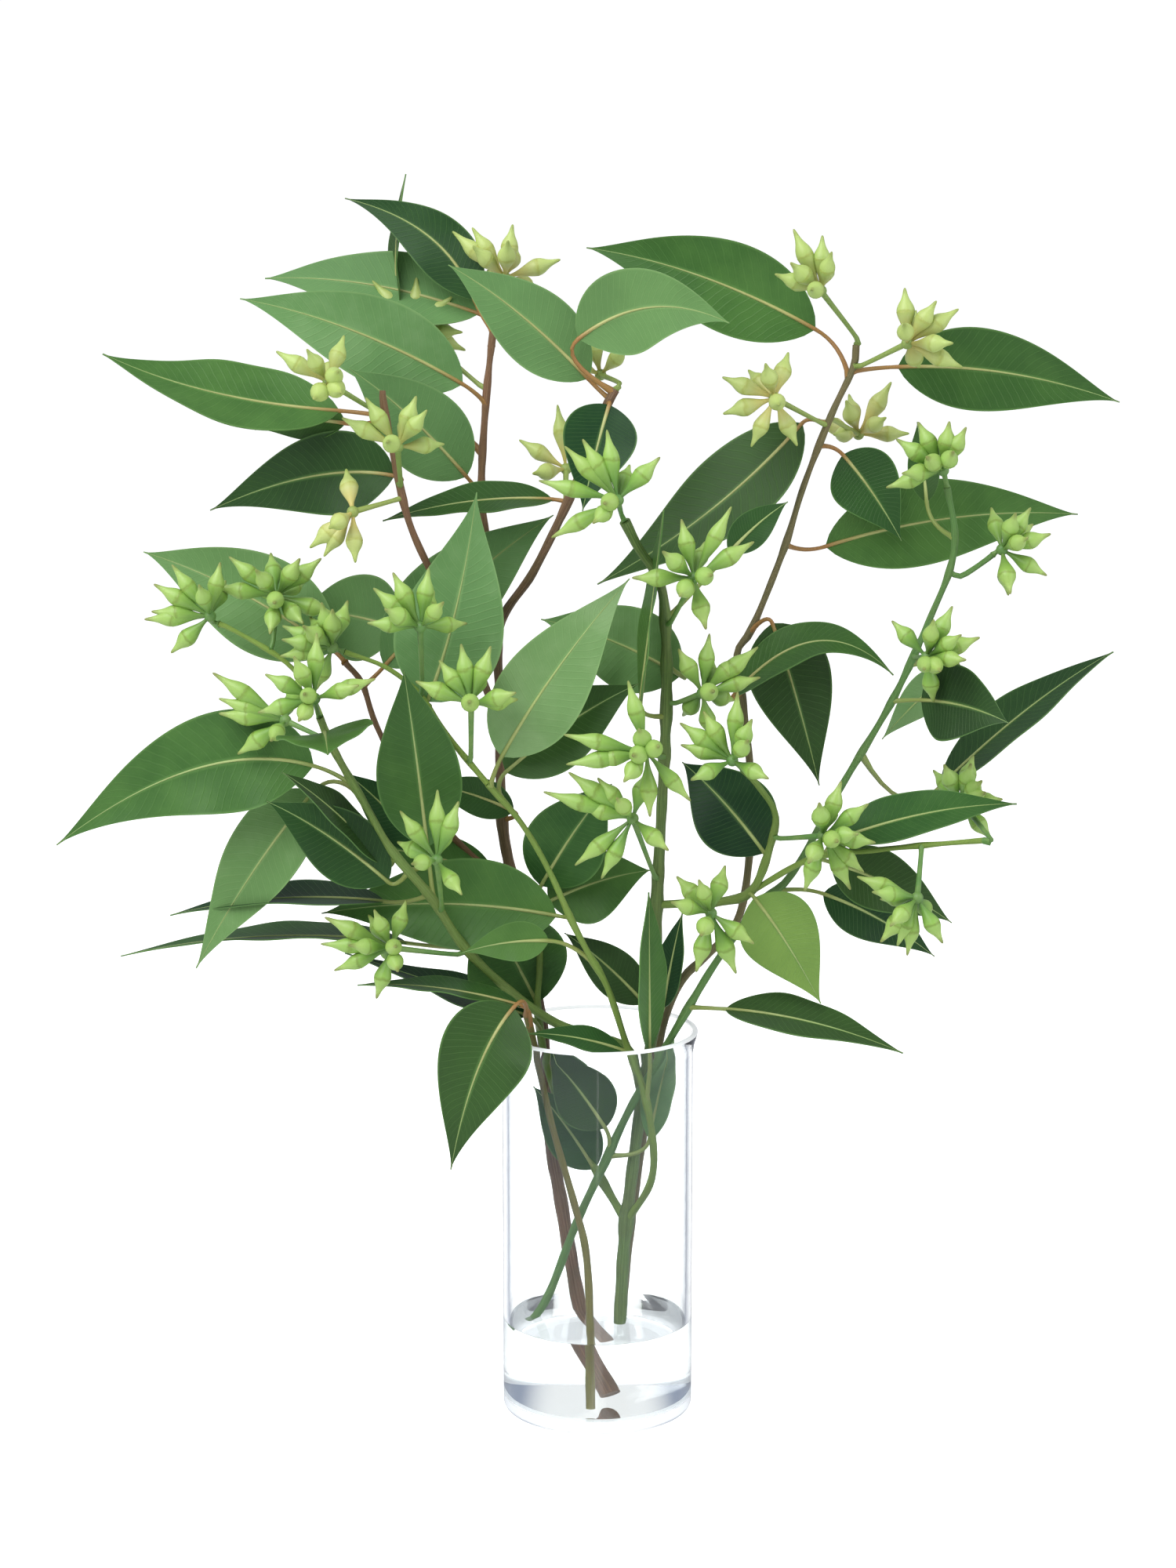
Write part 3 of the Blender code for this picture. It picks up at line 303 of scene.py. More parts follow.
def addLeaf(bm, layers, name, leaf, line):
    stem, node, base, tip, wide, tone = leaf[:6]
    dice = random.Random("leaf" + name)
    base, tip = place(*base), place(*tip)
    length = (tip - base).length
    middle = (base + tip) / 2 + Vector((0, -0.4, 1)) * (length * leafLook["arch"])
    if len(leaf) > 6:
        middle = place(*leaf[6])
    handle = middle * 2 - (base + tip) / 2
    seen = wide * leafLook["pixel"]
    width = max(seen, min(leafLook["width"], length * leafLook["stoutness"]))
    turn = math.acos(min(1.0, seen / width))
    tilt = 1 if (eye - base).cross(tip - base).z >= 0 else -1
    waves = [(dice.uniform(1.5, 3.2), dice.uniform(0, math.tau), dice.uniform(0.5, 1)) for side in range(2)]
    twist = dice.uniform(-leafLook["twist"], leafLook["twist"])

    def ribAt(share):
        rest = 1 - share
        point = base * (rest * rest) + handle * (2 * rest * share) + tip * (share * share)
        heading = ((handle - base) * rest + (tip - handle) * share).normalized()
        viewer = (eye - point).normalized()
        facing = (viewer - heading * viewer.dot(heading)).normalized()
        angle = turn + twist * (share - 0.4)
        normal = facing * math.cos(angle) + facing.cross(heading) * (tilt * math.sin(angle))
        return point, heading, normal

    def spot(across, along, sunk=0):
        point, heading, normal = ribAt(along)
        column = across * 2 - 1
        count, phase, depth = waves[0 if column < 0 else 1]
        half = max(leafLook["end"], width / 2 * bladeWidth(along))
        fold = abs(column) ** 1.25 * leafLook["fold"]
        wave = math.sin(along * count * math.tau + phase) * depth * leafLook["wave"] * abs(column) ** 2
        lift = (fold + wave * math.sin(along * math.pi)) * half - sunk
        return point + heading.cross(normal) * (column * half) + normal * lift

    def backSpot(across, along):
        return spot(across, along, leafLook["thickness"])

    front = 1 if leafLook["paleFrom"] < tone < leafLook["vividFrom"] else 0
    tint = dice.random()
    columns, rows = leafLook["columns"], leafLook["rows"]
    faces = addGrid(bm, layers, columns, rows, spot, front, tone, tint)[1]
    faces += addGrid(bm, layers, columns, rows, backSpot, 1 - front, tone, tint)[1]
    rims = list({edge for face in faces for edge in face.edges if edge.is_boundary})
    faces += bmesh.ops.bridge_loops(bm, edges=rims)["faces"]
    bmesh.ops.recalc_face_normals(bm, faces=faces)
    root = nearest(line, *node)[0]
    bow = (base - root).length * leafLook["petioleBow"]
    elbow = base - ribAt(0.01)[1] * bow  # the petiole runs into the rib
    lead = []
    for i in range(leafLook["petioleRows"]):
        share = i / leafLook["petioleRows"]
        lead.append(root.lerp(elbow, share).lerp(elbow.lerp(base, share), share))
    rib = [ribAt(i / leafLook["rows"])[0] for i in range(leafLook["rows"] + 1)]
    path = lead + rib
    join = leafLook["petioleRows"] / (len(path) - 1)

    def radiusAt(share):
        if share < join:
            thick, thin = leafLook["petiole"]
            foot = leafLook["petioleFoot"] * math.exp(-share * 90)
            return thick + (thin - thick) * (share / join) + foot
        rest = (share - join) / (1 - join)
        taper = leafLook["petiole"][1] * (1 - rest) ** 1.6 * 0.8  # thinner towards the tip
        return taper + leafLook["ribEnd"] + leafLook["ribRoot"] * (1 - rest)

    addTube(bm, layers, path, radiusAt, leafLook["ribSides"], 2, tone, tint)


def addStem(bm, layers, name, lines):
    line = lines[name]
    start, end = stems[name]["radii"]
    length = sum((b - a).length for a, b in zip(line, line[1:]))
    nodes = [nearest(line, *leaf[1])[2] for leaf in leaves.values() if leaf[0] == name]
    nodes += [nearest(line, *head[1])[2] for head in heads.values() if head[0] == name]
    nodes += [nearest(line, *stem["start"][1:])[2] for stem in stems.values() if stem["start"][0] == name]
    reach = stemLook["swellingReach"] / length
    dice = random.Random(name)
    phase = dice.uniform(0, math.tau)

    def radiusAt(share):
        radius = (start + (end - start) * share) * mm
        swell = sum(math.exp(-((share - node) / reach) ** 2) for node in nodes)
        wander = math.sin(share * length * stemLook["wanderRate"] + phase) * stemLook["wander"]
        return radius * (1 + min(1, swell) * stemLook["swelling"] + wander)

    young = 1 - min(1, start / stemLook["oldRadius"])
    addTube(bm, layers, line, radiusAt, stemLook["sides"], 3, young, dice.random())


def finishPiece(name, bm, materials, slotName, *nodes):
    mesh = toMesh(name, bm)
    piece = toScene(name, mesh)
    for material in materials:
        mesh.materials.append(material)
    mesh.set_sharp_from_angle(angle=math.radians(50))
    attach(piece, "root")
    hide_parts(*nodes)


# Bud heads by number: the stem and pixel where the stalk leaves it, the head's middle, how creamy
# the buds are, and the pixels of the beaks' points, with -1 where a bud leans back
heads = {
    1: ("brownMiddle", (632, 395), (644, 354, -38), 0.8, [
        (577, 295), (602, 290), (604, 313), (654, 286), (649, 306), (715, 331)]),
    2: ("brownMiddle", (620, 498), (530, 420, -62), 0.8, [
        (475, 358), (531, 354), (577, 378), (591, 423), (594, 447)]),
    3: ("brownLeft", (490, 525), (419, 488, 44), 0.6, [
        (352, 448), (395, 443), (436, 470), (440, 497), (405, 505)]),
    4: ("brownLeft", (509, 615), (507, 570, 44), 0.5, [
        (466, 507), (531, 505), (546, 521), (436, 533), (498, 558)]),
    5: ("brownLeft", (512, 635), (450, 653, 34), 1, [
        (395, 699), (413, 710), (455, 715), (424, 668)]),
    6: ("brown", (785, 497), (766, 478, -34), 0.7, [
        (752, 418), (720, 455), (800, 440)]),
    7: ("brown", (722, 645), (722, 598, -32), 0.8, [
        (662, 561), (711, 516), (680, 600)]),
    8: ("olive", (797, 665), (788, 638, 56), 0, [
        (774, 548), (743, 560), (720, 569), (842, 583), (687, 613), (703, 686), (770, 636), (756, 662)]),
    9: ("olive", (850, 795), (885, 737, 56), 0, [
        (869, 662), (933, 646), (844, 699), (962, 691), (806, 737), (900, 801), (906, 726), (865, 753)]),
    10: ("olive", (849, 890), (896, 884, 34), 0, [
        (905, 808), (865, 826), (967, 825), (970, 864), (872, 921, -1), (947, 835), (908, 872)]),
    11: ("olive", (848, 965), (825, 960, 66), 0, [
        (801, 868), (719, 937), (722, 975), (881, 1022), (829, 1042), (814, 921), (752, 971), (839, 941),
        (795, 988), (806, 953)]),
    12: ("olive", (840, 1110), (807, 1044, 58), 0, [
        (693, 1010), (725, 985), (733, 1104), (767, 1121), (852, 1078), (741, 1029), (786, 1008),
        (762, 992)]),
    13: ("sideRight", (948, 982), (934, 970, 52), 0, [
        (941, 882), (958, 913), (897, 907), (867, 922), (868, 950), (880, 989), (978, 985), (952, 935)]),
    14: ("sideRight", (905, 1151), (907, 1165, 54), 0, [
        (890, 1114), (855, 1143), (888, 1240), (939, 1242), (961, 1200), (892, 1180)]),
    15: ("sideRight", (986, 1068), (1050, 1066, 48), 0, [
        (1073, 996), (1042, 1016), (1108, 1025), (1117, 1075), (1102, 1113), (1085, 1135), (1026, 1137),
        (1091, 1054), (1064, 1061), (1027, 1090)]),
    16: ("sideRightOuter", (1180, 1078), (1170, 1145, 58), 0, [
        (1093, 1118), (1110, 1132), (1123, 1202), (1144, 1206), (1157, 1219), (1202, 1202), (1131, 1171)]),
    17: ("sideRightOuter", (1255, 1072), (1225, 1022, -8), 0, [
        (1201, 970), (1235, 968), (1247, 987), (1251, 1001), (1274, 1012), (1262, 1066)]),
    19: ("right", (1208, 622), (1203, 600, 2), 0, [
        (1171, 538), (1209, 536), (1230, 543), (1143, 560), (1147, 601), (1130, 622), (1176, 578),
        (1210, 571)]),
    20: ("rightFork", (1266, 708), (1278, 701, -3), 0, [
        (1291, 650), (1313, 646), (1338, 679), (1334, 733), (1284, 753), (1304, 680)]),
    21: ("right", (1166, 840), (1182, 838, 22), 0, [
        (1187, 785), (1215, 773), (1250, 813), (1222, 804), (1227, 835), (1172, 845), (1193, 847)]),
    22: ("tallRight", (1092, 440), (1047, 371, -8), 0.5, [
        (1012, 292), (1049, 300), (1058, 320), (1006, 334), (987, 349), (1031, 367)]),
    23: ("tallRight", (1090, 460), (1157, 438, -6), 0.7, [
        (1154, 367), (1193, 383), (1223, 394), (1212, 436), (1228, 469), (1148, 410)]),
    24: ("tallRight", (1056, 540), (988, 508, 0), 0.8, [
        (921, 481), (974, 461), (922, 528), (958, 570), (1017, 569), (990, 512)]),
    25: ("tallRight", (1060, 530), (1095, 554, -64), 1, [
        (1076, 508), (1137, 487), (1059, 550), (1160, 553), (1126, 529)]),
    26: ("greenFarLeft", (280, 796), (268, 786, 30), 0, [
        (219, 720), (196, 745), (281, 717), (193, 780), (184, 790), (218, 833), (259, 740)]),
    27: ("greenFarLeft", (345, 833), (353, 760, 22), 0, [
        (292, 710), (385, 709), (410, 712), (275, 749), (427, 784), (349, 802), (331, 721), (391, 790),
        (356, 761)]),
    28: ("greenLongLeft", (440, 832), (424, 826, 37), 0, [
        (360, 798), (358, 836), (390, 792), (412, 765), (427, 772), (361, 813)]),
    29: ("greenThick", (408, 915), (401, 891, 81), 0, [
        (404, 807), (377, 833), (338, 860), (479, 866), (460, 870), (329, 909), (393, 875), (386, 910)]),
    30: ("greenThick", (420, 945), (364, 919, 42), 0, [
        (271, 858), (279, 891), (279, 910), (303, 962), (351, 935)]),
    32: ("greenThick", (557, 1155), (557, 1097, 68), 0, [
        (510, 1034), (558, 1007), (585, 1022), (591, 1132), (528, 1090)]),
    33: ("greenThick", (592, 1208), (499, 1209, 38), 0, [
        (414, 1170), (479, 1154), (409, 1204), (426, 1238), (480, 1274), (447, 1197), (508, 1193),
        (511, 1225)]),
    34: ("greenLongLeft", (535, 886), (536, 800, 60), 0, [
        (476, 750), (501, 730), (547, 724), (568, 762), (469, 793), (493, 771)]),
    35: ("greenLongLeft", (598, 972), (601, 898, 66), 0, [
        (560, 842), (588, 821), (626, 824), (659, 879), (530, 869), (601, 885)]),
}

budLook = dict(length=0.026, steps=16, sizes=(0.80, 0.94), knob=0.0030, hidden=5, shorter=0.97, tries=60,
               turn=math.radians(137.5), spacing=math.radians(47), stalkSpacing=math.radians(65.8),
               behind=0.25, stalk=(0.00115, 0.0016), stalkFoot=0.0007, stalkSides=10, lead=0.003)
budOutline = [(0.90, 0.04), (1.05, 0.12), (1.35, 0.19), (1.90, 0.26), (2.70, 0.33), (3.55, 0.40),
              (4.25, 0.46), (4.80, 0.52), (5.05, 0.56), (5.08, 0.575), (4.92, 0.585), (4.95, 0.60),
              (4.80, 0.63), (4.30, 0.68), (3.45, 0.73), (2.55, 0.78), (1.90, 0.83), (1.45, 0.88),
              (1.10, 0.93), (0.80, 0.97), (0.40, 0.995)]  # radius in mm, share of the length


def budShape():  # one bud along +Z: stalk, cup, ring where the cap sits, and long beak
    bm, layers = newSheet()
    outline = [Vector((radius * mm, 0, share * budLook["length"])) for radius, share in budOutline]
    outline.append(Vector((0, 0, budLook["length"])))
    verts = [bm.verts.new(point) for point in outline]
    edges = [bm.edges.new(pair) for pair in zip(verts, verts[1:])]
    bmesh.ops.spin(bm, geom=verts + edges, axis=(0, 0, 1), cent=(0, 0, 0), angle=math.tau,
                   steps=budLook["steps"], use_merge=True)
    bmesh.ops.remove_doubles(bm, verts=bm.verts, dist=0.00001)
    bmesh.ops.holes_fill(bm, edges=[edge for edge in bm.edges if edge.is_boundary])
    bmesh.ops.recalc_face_normals(bm, faces=bm.faces)
    for face in bm.faces:
        face.smooth = True
        for loop in face.loops:
            spot = loop.vert.co
            loop[layers["uv"]].uv = (math.atan2(spot.y, spot.x) / math.tau + 0.5, spot.z / budLook["length"])
    return toMesh("bud", bm)


def budDirections(tips, toward, middle, stalk):  # the buds seen, then those that fill the head
    directions = []
    for u, v, *lean in tips:
        flat = place(u, v, toward) - middle
        forward = math.sqrt(max(0, budLook["length"] ** 2 - flat.length_squared))
        directions.append(flat + Vector((0, forward if lean else -forward, 0)))
    hidden = 0
    for i in range(budLook["tries"]):
        height = 1 - (2 * i + 1) / budLook["tries"]
        angle = i * budLook["turn"]
        ring = math.sqrt(1 - height * height)
        spare = Vector((ring * math.cos(angle), ring * math.sin(angle), height))
        clear = all(spare.angle(other) > budLook["spacing"] for other in directions)
        clear = clear and spare.angle(stalk) > budLook["stalkSpacing"] and spare.y > budLook["behind"]
        if clear and hidden < min(budLook["hidden"], len(tips) - 3):
            directions.append(spare * budLook["length"] * budLook["shorter"])
            hidden += 1
    return directions


def addHead(name, head, lines, shape, materials):
    stem, node, centre, pale, tips = head
    bm, layers = newSheet()
    dice = random.Random(name)
    middle = place(*centre)
    foot, end = stems[stem]["radii"]
    point, along, share = nearest(lines[stem], *node)
    radius = (foot + (end - foot) * share) * mm
    out = middle - point
    out = (out - along * out.dot(along)).normalized()
    if share == 1:
        out = along
        start = point
    else:
        start = point + out * (radius * 0.6)  # inside the stem
    lead = start + out * (budLook["lead"] + radius * 0.4)
    line = smoothLine([start, lead, middle], 0.002)
    thin, thick = budLook["stalk"]

    def radiusAt(share):
        return thin + (thick - thin) * share ** 2 + budLook["stalkFoot"] * math.exp(-share * 14)

    addTube(bm, layers, line, radiusAt, budLook["stalkSides"], 1, pale, dice.random())
    knob = bmesh.ops.create_icosphere(bm, subdivisions=3, radius=budLook["knob"],
                                      matrix=Matrix.Translation(middle))["verts"]
    for vert in knob:
        vert[layers["tone"]] = pale
        vert[layers["tint"]] = 0.5
        for face in vert.link_faces:
            face.material_index = 1
            face.smooth = True
    stalk = (lead - middle).normalized()
    for reach in budDirections(tips, centre[2], middle, stalk):
        bud = shape.copy()
        size = reach.length / budLook["length"]
        thick = dice.uniform(*budLook["sizes"])
        turn = Matrix.Rotation(dice.uniform(0, math.tau), 4, "Z") @ Matrix.Diagonal((thick, thick, size, 1))
        bud.transform(Matrix.Translation(middle) @ reach.to_track_quat("Z", "Y").to_matrix().to_4x4() @ turn)
        before = len(bm.verts)
        bm.from_mesh(bud)
        bpy.data.meshes.remove(bud)
        bm.verts.ensure_lookup_table()
        tint = dice.random()
        for vert in bm.verts[before:]:
            vert[layers["tone"]] = pale
            vert[layers["tint"]] = tint
    finishPiece(name + "_fine", bm, materials, "bud", name)


def arc(centre, radius, first, last, steps):  # points of a round corner of a profile
    points = []
    for i in range(steps + 1):
        angle = math.radians(first + (last - first) * i / steps)
        points.append((centre[0] + radius * math.cos(angle), centre[1] + radius * math.sin(angle)))
    return points


def turnedBody(profile):  # a closed body turned about the vase's axis
    bm = newSheet()[0]
    verts = [bm.verts.new((radius, 0, height)) for radius, height in profile]
    edges = [bm.edges.new(pair) for pair in zip(verts, verts[1:])]
    bmesh.ops.spin(bm, geom=verts + edges, axis=(0, 0, 1), cent=(0, 0, 0), angle=math.tau,
                   steps=glass["steps"], use_merge=True)
    bmesh.ops.remove_doubles(bm, verts=bm.verts, dist=0.000005)
    bmesh.ops.recalc_face_normals(bm, faces=bm.faces)
    for face in bm.faces:
        face.smooth = True
    return bm


def makeVase(materials):
    wall, thick, high, floorTop = glass["wall"], glass["thick"], glass["height"], glass["floor"]
    inner = wall - thick
    lipStart = high - glass["lip"]
    bead = thick / 2
    corner, steps = glass["corner"], glass["cornerSteps"]
    flare, flareAt = glass["flare"], lipStart + glass["flareAt"]
    profile = [(0, floorTop - glass["dish"]), (inner / 2, floorTop - glass["dish"] / 2)]
    profile += arc((inner - corner, floorTop + corner), corner, -90, 0, steps)
    profile += [(inner, lipStart), (inner + flare, flareAt)]
    profile += arc((glass["rim"] - bead, high - bead), bead, 180, 0, glass["lipSteps"])
    profile += [(wall + flare, flareAt), (wall, lipStart)]
    profile += arc((wall - corner, corner), corner, 0, -90, steps)
    profile += [(0, 0)]
    bm = turnedBody(profile)
    for face in bm.faces:  # painted highlight: the sole and the rim get a white finish that glows
        middle = face.calc_center_median().z
        if middle <= glass["soleBright"] or middle >= high - glass["rimBright"]:
            face.material_index = 1
    finishPiece("vase_glass_fine", bm, materials, "vase_glass", "vase")


def makeWater(material):
    edge = glass["wall"] - glass["thick"] + water["overlap"]
    low = glass["floor"] - water["overlap"]
    corner = glass["corner"]
    profile = [(0, water["level"])]
    for width, rise in water["rising"]:  # the surface climbs the glass a little
        profile.append((edge - water["riseWidth"] * width, water["level"] + water["rise"] * rise))
    profile += arc((edge - corner, low + corner), corner, 0, -90, glass["cornerSteps"])
    profile += [(0, low)]
    finishPiece("water_fine", turnedBody(profile), [material], "water", "water")


# Materials: small helpers, then one function for each finish
def addNode(tree, kind, values=(), **settings):
    item = tree.nodes.new("ShaderNode" + kind)
    for key, value in settings.items():
        setattr(item, key, value)
    for socket, value in zip(item.inputs, values):
        if isinstance(value, bpy.types.NodeSocket):
            tree.links.new(value, socket)
        elif value is not None:
            socket.default_value = value
    return item


def calc(tree, operation, *values):
    return addNode(tree, "Math", values, operation=operation).outputs[0]


def times(tree, first, second):
    return calc(tree, "MULTIPLY", first, second)


def blend(tree, factor, first, second):  # from the first colour to the second
    item = addNode(tree, "Mix", data_type="RGBA")
    tree.links.new(factor, item.inputs[0])
    for socket, value in ((item.inputs[6], first), (item.inputs[7], second)):
        if isinstance(value, bpy.types.NodeSocket):
            tree.links.new(value, socket)
        else:
            socket.default_value = (*value, 1)
    return item.outputs[2]


def band(tree, value, low, high, first=0.0, last=1.0):  # smooth step from one value to another
    item = addNode(tree, "MapRange", (value, low, high, first, last), interpolation_type="SMOOTHSTEP")
    return item.outputs[0]


def ramp(tree, value, stops):
    item = addNode(tree, "ValToRGB", (value,))
    while len(item.color_ramp.elements) < len(stops):
        item.color_ramp.elements.new(0.5)
    for element, (spot, colour) in zip(item.color_ramp.elements, stops):
        element.position = spot
        element.color = (*colour, 1)
    return item.outputs[0]


def attribute(tree, name):
    return addNode(tree, "Attribute", attribute_name=name).outputs["Fac"]


def readUv(tree):
    return addNode(tree, "UVMap", uv_map="along").outputs[0]


def split(tree, vector):
    return addNode(tree, "SeparateXYZ", (vector,)).outputs


def newGroup(name, inputs, outputs):
    tree = bpy.data.node_groups.new(name, "ShaderNodeTree")
    for label, value in inputs:
        socket = tree.interface.new_socket(label, in_out="INPUT", socket_type="NodeSocketFloat")
        socket.default_value = value
    for label in outputs:
        tree.interface.new_socket(label, in_out="OUTPUT", socket_type="NodeSocketFloat")
    return tree, tree.nodes.new("NodeGroupInput").outputs, tree.nodes.new("NodeGroupOutput").inputs


def veinGroup():  # masks of a leaf's side veins, fine net, pale edge and middle rib
    inputs = [("Pairs", 27), ("Slant", 3.0), ("Vein Width", 0.12)]
    tree, given, out = newGroup("leafVeins", inputs, ["Veins", "Net", "Edge", "Rib"])
    parts = split(tree, readUv(tree))
    side = times(tree, calc(tree, "ABSOLUTE", calc(tree, "SUBTRACT", parts[0], 0.5)), 2.0)
    jitter = addNode(tree, "TexNoise", (None, None, 60.0, 2.0))
    tree.links.new(addNode(tree, "TexCoord").outputs["Object"], jitter.inputs["Vector"])
    phase = times(tree, parts[1], given["Pairs"])
    phase = calc(tree, "SUBTRACT", phase, times(tree, side, given["Slant"]))
    phase = calc(tree, "ADD", phase, times(tree, jitter.outputs[0], 0.9))
    half = calc(tree, "GREATER_THAN", parts[0], 0.5)
    phase = calc(tree, "ADD", phase, times(tree, half, 0.5))
    line = calc(tree, "PINGPONG", phase, 0.5)
    veins = band(tree, line, 0.0, given["Vein Width"], 1.0, 0.0)
    fade = band(tree, side, 0.86, 0.96, 1.0, 0.0)
    tree.links.new(times(tree, veins, fade), out["Veins"])
    fine = calc(tree, "PINGPONG", times(tree, phase, 3.0), 0.5)
    tree.links.new(band(tree, fine, 0.0, 0.22, 1.0, 0.0), out["Net"])
    tree.links.new(band(tree, side, 0.93, 1.0), out["Edge"])
    tree.links.new(band(tree, side, 0.02, 0.10, 1.0, 0.0), out["Rib"])
    return tree


def mottleGroup():  # soft patches and small specks over the surface
    tree, given, out = newGroup("mottle", [("Patches", 35), ("Specks", 900)], ["Patch", "Speck", "Grain"])
    spot = addNode(tree, "TexCoord").outputs["Object"]
    patch = addNode(tree, "TexNoise", (spot, None, given["Patches"], 4.0, 0.6))
    tree.links.new(band(tree, patch.outputs[0], 0.32, 0.68), out["Patch"])
    speck = addNode(tree, "TexVoronoi", (spot, None, given["Specks"]))
    tree.links.new(band(tree, speck.outputs[0], 0.08, 0.2, 1.0, 0.0), out["Speck"])
    grain = addNode(tree, "TexNoise", (spot, None, given["Specks"], 3.0, 0.5))
    tree.links.new(grain.outputs[0], out["Grain"])
    return tree


def useGroup(tree, group, **values):
    item = tree.nodes.new("ShaderNodeGroup")
    item.node_tree = group
    for label, value in values.items():
        item.inputs[label.replace("_", " ")].default_value = value
    return item.outputs


veinNodes = veinGroup()
mottleNodes = mottleGroup()


def mottled(tree, patches, specks):
    return useGroup(tree, mottleNodes, Patches=patches, Specks=specks)


def newFinish(name, roughness, **values):
    material = bpy.data.materials.new(name)
    material.use_nodes = True
    shader = material.node_tree.nodes["Principled BSDF"]
    shader.inputs["Roughness"].default_value = roughness
    for label, value in values.items():
        value = (*value, 1) if isinstance(value, tuple) else value
        shader.inputs[label.replace("_", " ")].default_value = value
    return material, material.node_tree, shader.inputs


def skin(tree, sockets, height, strength, distance, colour=None):  # bump, and colour where it varies
    bump = addNode(tree, "Bump", (strength, distance))
    tree.links.new(height, bump.inputs["Height"])
    tree.links.new(bump.outputs[0], sockets["Normal"])
    if colour:
        tree.links.new(colour, sockets["Base Color"])


def leafFinish(name, tones, veinColour, veinShare, roughness, raised):
    material, tree, sockets = newFinish(name, roughness, Specular_IOR_Level=0.17)
    veins = useGroup(tree, veinNodes)
    mottle = mottled(tree, 30, 1100)
    tone = calc(tree, "ADD", attribute(tree, "tone"), times(tree, mottle["Patch"], 0.12))
    tone = calc(tree, "SUBTRACT", tone, 0.06)
    colour = ramp(tree, tone, tones)
    warm = blend(tree, times(tree, attribute(tree, "tint"), 0.15), colour, (0.16, 0.24, 0.05))
    share = times(tree, veins["Veins"], veinShare)
    share = calc(tree, "ADD", share, times(tree, veins["Net"], veinShare * 0.3))
    share = calc(tree, "MAXIMUM", share, times(tree, veins["Rib"], 0.5))
    share = calc(tree, "MAXIMUM", share, times(tree, veins["Edge"], 0.55))
    veined = blend(tree, share, warm, veinColour)
    specked = blend(tree, times(tree, mottle["Speck"], 0.18), veined, (0.05, 0.07, 0.02))
    shine = calc(tree, "ADD", times(tree, mottle["Grain"], 0.14), roughness - 0.07)
    tree.links.new(shine, sockets["Roughness"])
    height = times(tree, veins["Veins"], raised)
    height = calc(tree, "ADD", height, times(tree, mottle["Grain"], 0.4))
    skin(tree, sockets, height, 0.22, 0.0006, specked)
    return material


def ribFinish(name, root, middle, end):  # petiole, then the middle rib out to the tip
    material, tree, sockets = newFinish(name, 0.42)
    mottle = mottled(tree, 60, 1500)
    along = split(tree, readUv(tree))[1]
    join = leafLook["petioleRows"] / (leafLook["petioleRows"] + leafLook["rows"])
    colour = ramp(tree, along, [(0, root), (join, root), (join + 0.12, middle), (1, end)])
    colour = blend(tree, times(tree, mottle["Patch"], 0.25), colour, (0.25, 0.20, 0.05))
    skin(tree, sockets, mottle["Grain"], 0.3, 0.0003, colour)
    return material


def barkFinish(name, dark, light, scar, young):
    material, tree, sockets = newFinish(name, 0.5)
    mottle = mottled(tree, 50, 700)
    stretched = addNode(tree, "Mapping", (readUv(tree),))
    stretched.inputs["Scale"].default_value = (14, 5, 1)
    streak = addNode(tree, "TexNoise", (stretched.outputs[0], None, 2.0, 5.0, 0.65))
    streaks = band(tree, streak.outputs[0], 0.35, 0.7)
    colour = blend(tree, streaks, dark, light)
    colour = blend(tree, times(tree, mottle["Patch"], 0.4), colour, scar)
    colour = blend(tree, attribute(tree, "tone"), colour, young)
    colour = blend(tree, times(tree, mottle["Speck"], 0.25), colour, light)
    skin(tree, sockets, calc(tree, "ADD", streaks, mottle["Grain"]), 0.5, 0.0006, colour)
    return material


# Bud colours from the stalk to the point, with a ring where the cap sits
freshBud = [(0.0, (0.06, 0.16, 0.035)), (0.30, (0.15, 0.32, 0.055)), (0.54, (0.26, 0.47, 0.085)),
            (0.585, (0.20, 0.32, 0.050)), (0.62, (0.30, 0.50, 0.110)), (0.85, (0.36, 0.54, 0.14)),
            (1.0, (0.20, 0.23, 0.06))]
creamyBud = [(0.0, (0.60, 0.42, 0.10)), (0.25, (0.70, 0.58, 0.20)), (0.50, (0.62, 0.62, 0.26)),
             (0.585, (0.50, 0.52, 0.14)), (0.62, (0.56, 0.62, 0.22)), (0.85, (0.50, 0.60, 0.19)),
             (1.0, (0.34, 0.44, 0.10))]


def budFinish():
    material, tree, sockets = newFinish("budSkin", 0.40)
    mottle = mottled(tree, 120, 1600)
    along = split(tree, readUv(tree))[1]
    along = calc(tree, "ADD", along, times(tree, calc(tree, "SUBTRACT", mottle["Patch"], 0.5), 0.05))
    tone = times(tree, attribute(tree, "tone"), 0.85)
    colour = blend(tree, tone, ramp(tree, along, freshBud), ramp(tree, along, creamyBud))
    colour = blend(tree, times(tree, attribute(tree, "tint"), 0.12), colour, (0.46, 0.48, 0.12))
    colour = blend(tree, times(tree, mottle["Speck"], 0.22), colour, (0.16, 0.24, 0.05))
    skin(tree, sockets, mottle["Grain"], 0.3, 0.0004, colour)
    return material


def stalkFinish():
    material, tree, sockets = newFinish("budStalk", 0.45)
    mottle = mottled(tree, 90, 1200)
    colour = blend(tree, attribute(tree, "tone"), (0.10, 0.24, 0.055), (0.30, 0.38, 0.09))
    colour = blend(tree, times(tree, mottle["Patch"], 0.35), colour, (0.30, 0.40, 0.12))
    skin(tree, sockets, mottle["Grain"], 0.3, 0.0004, colour)
    return material


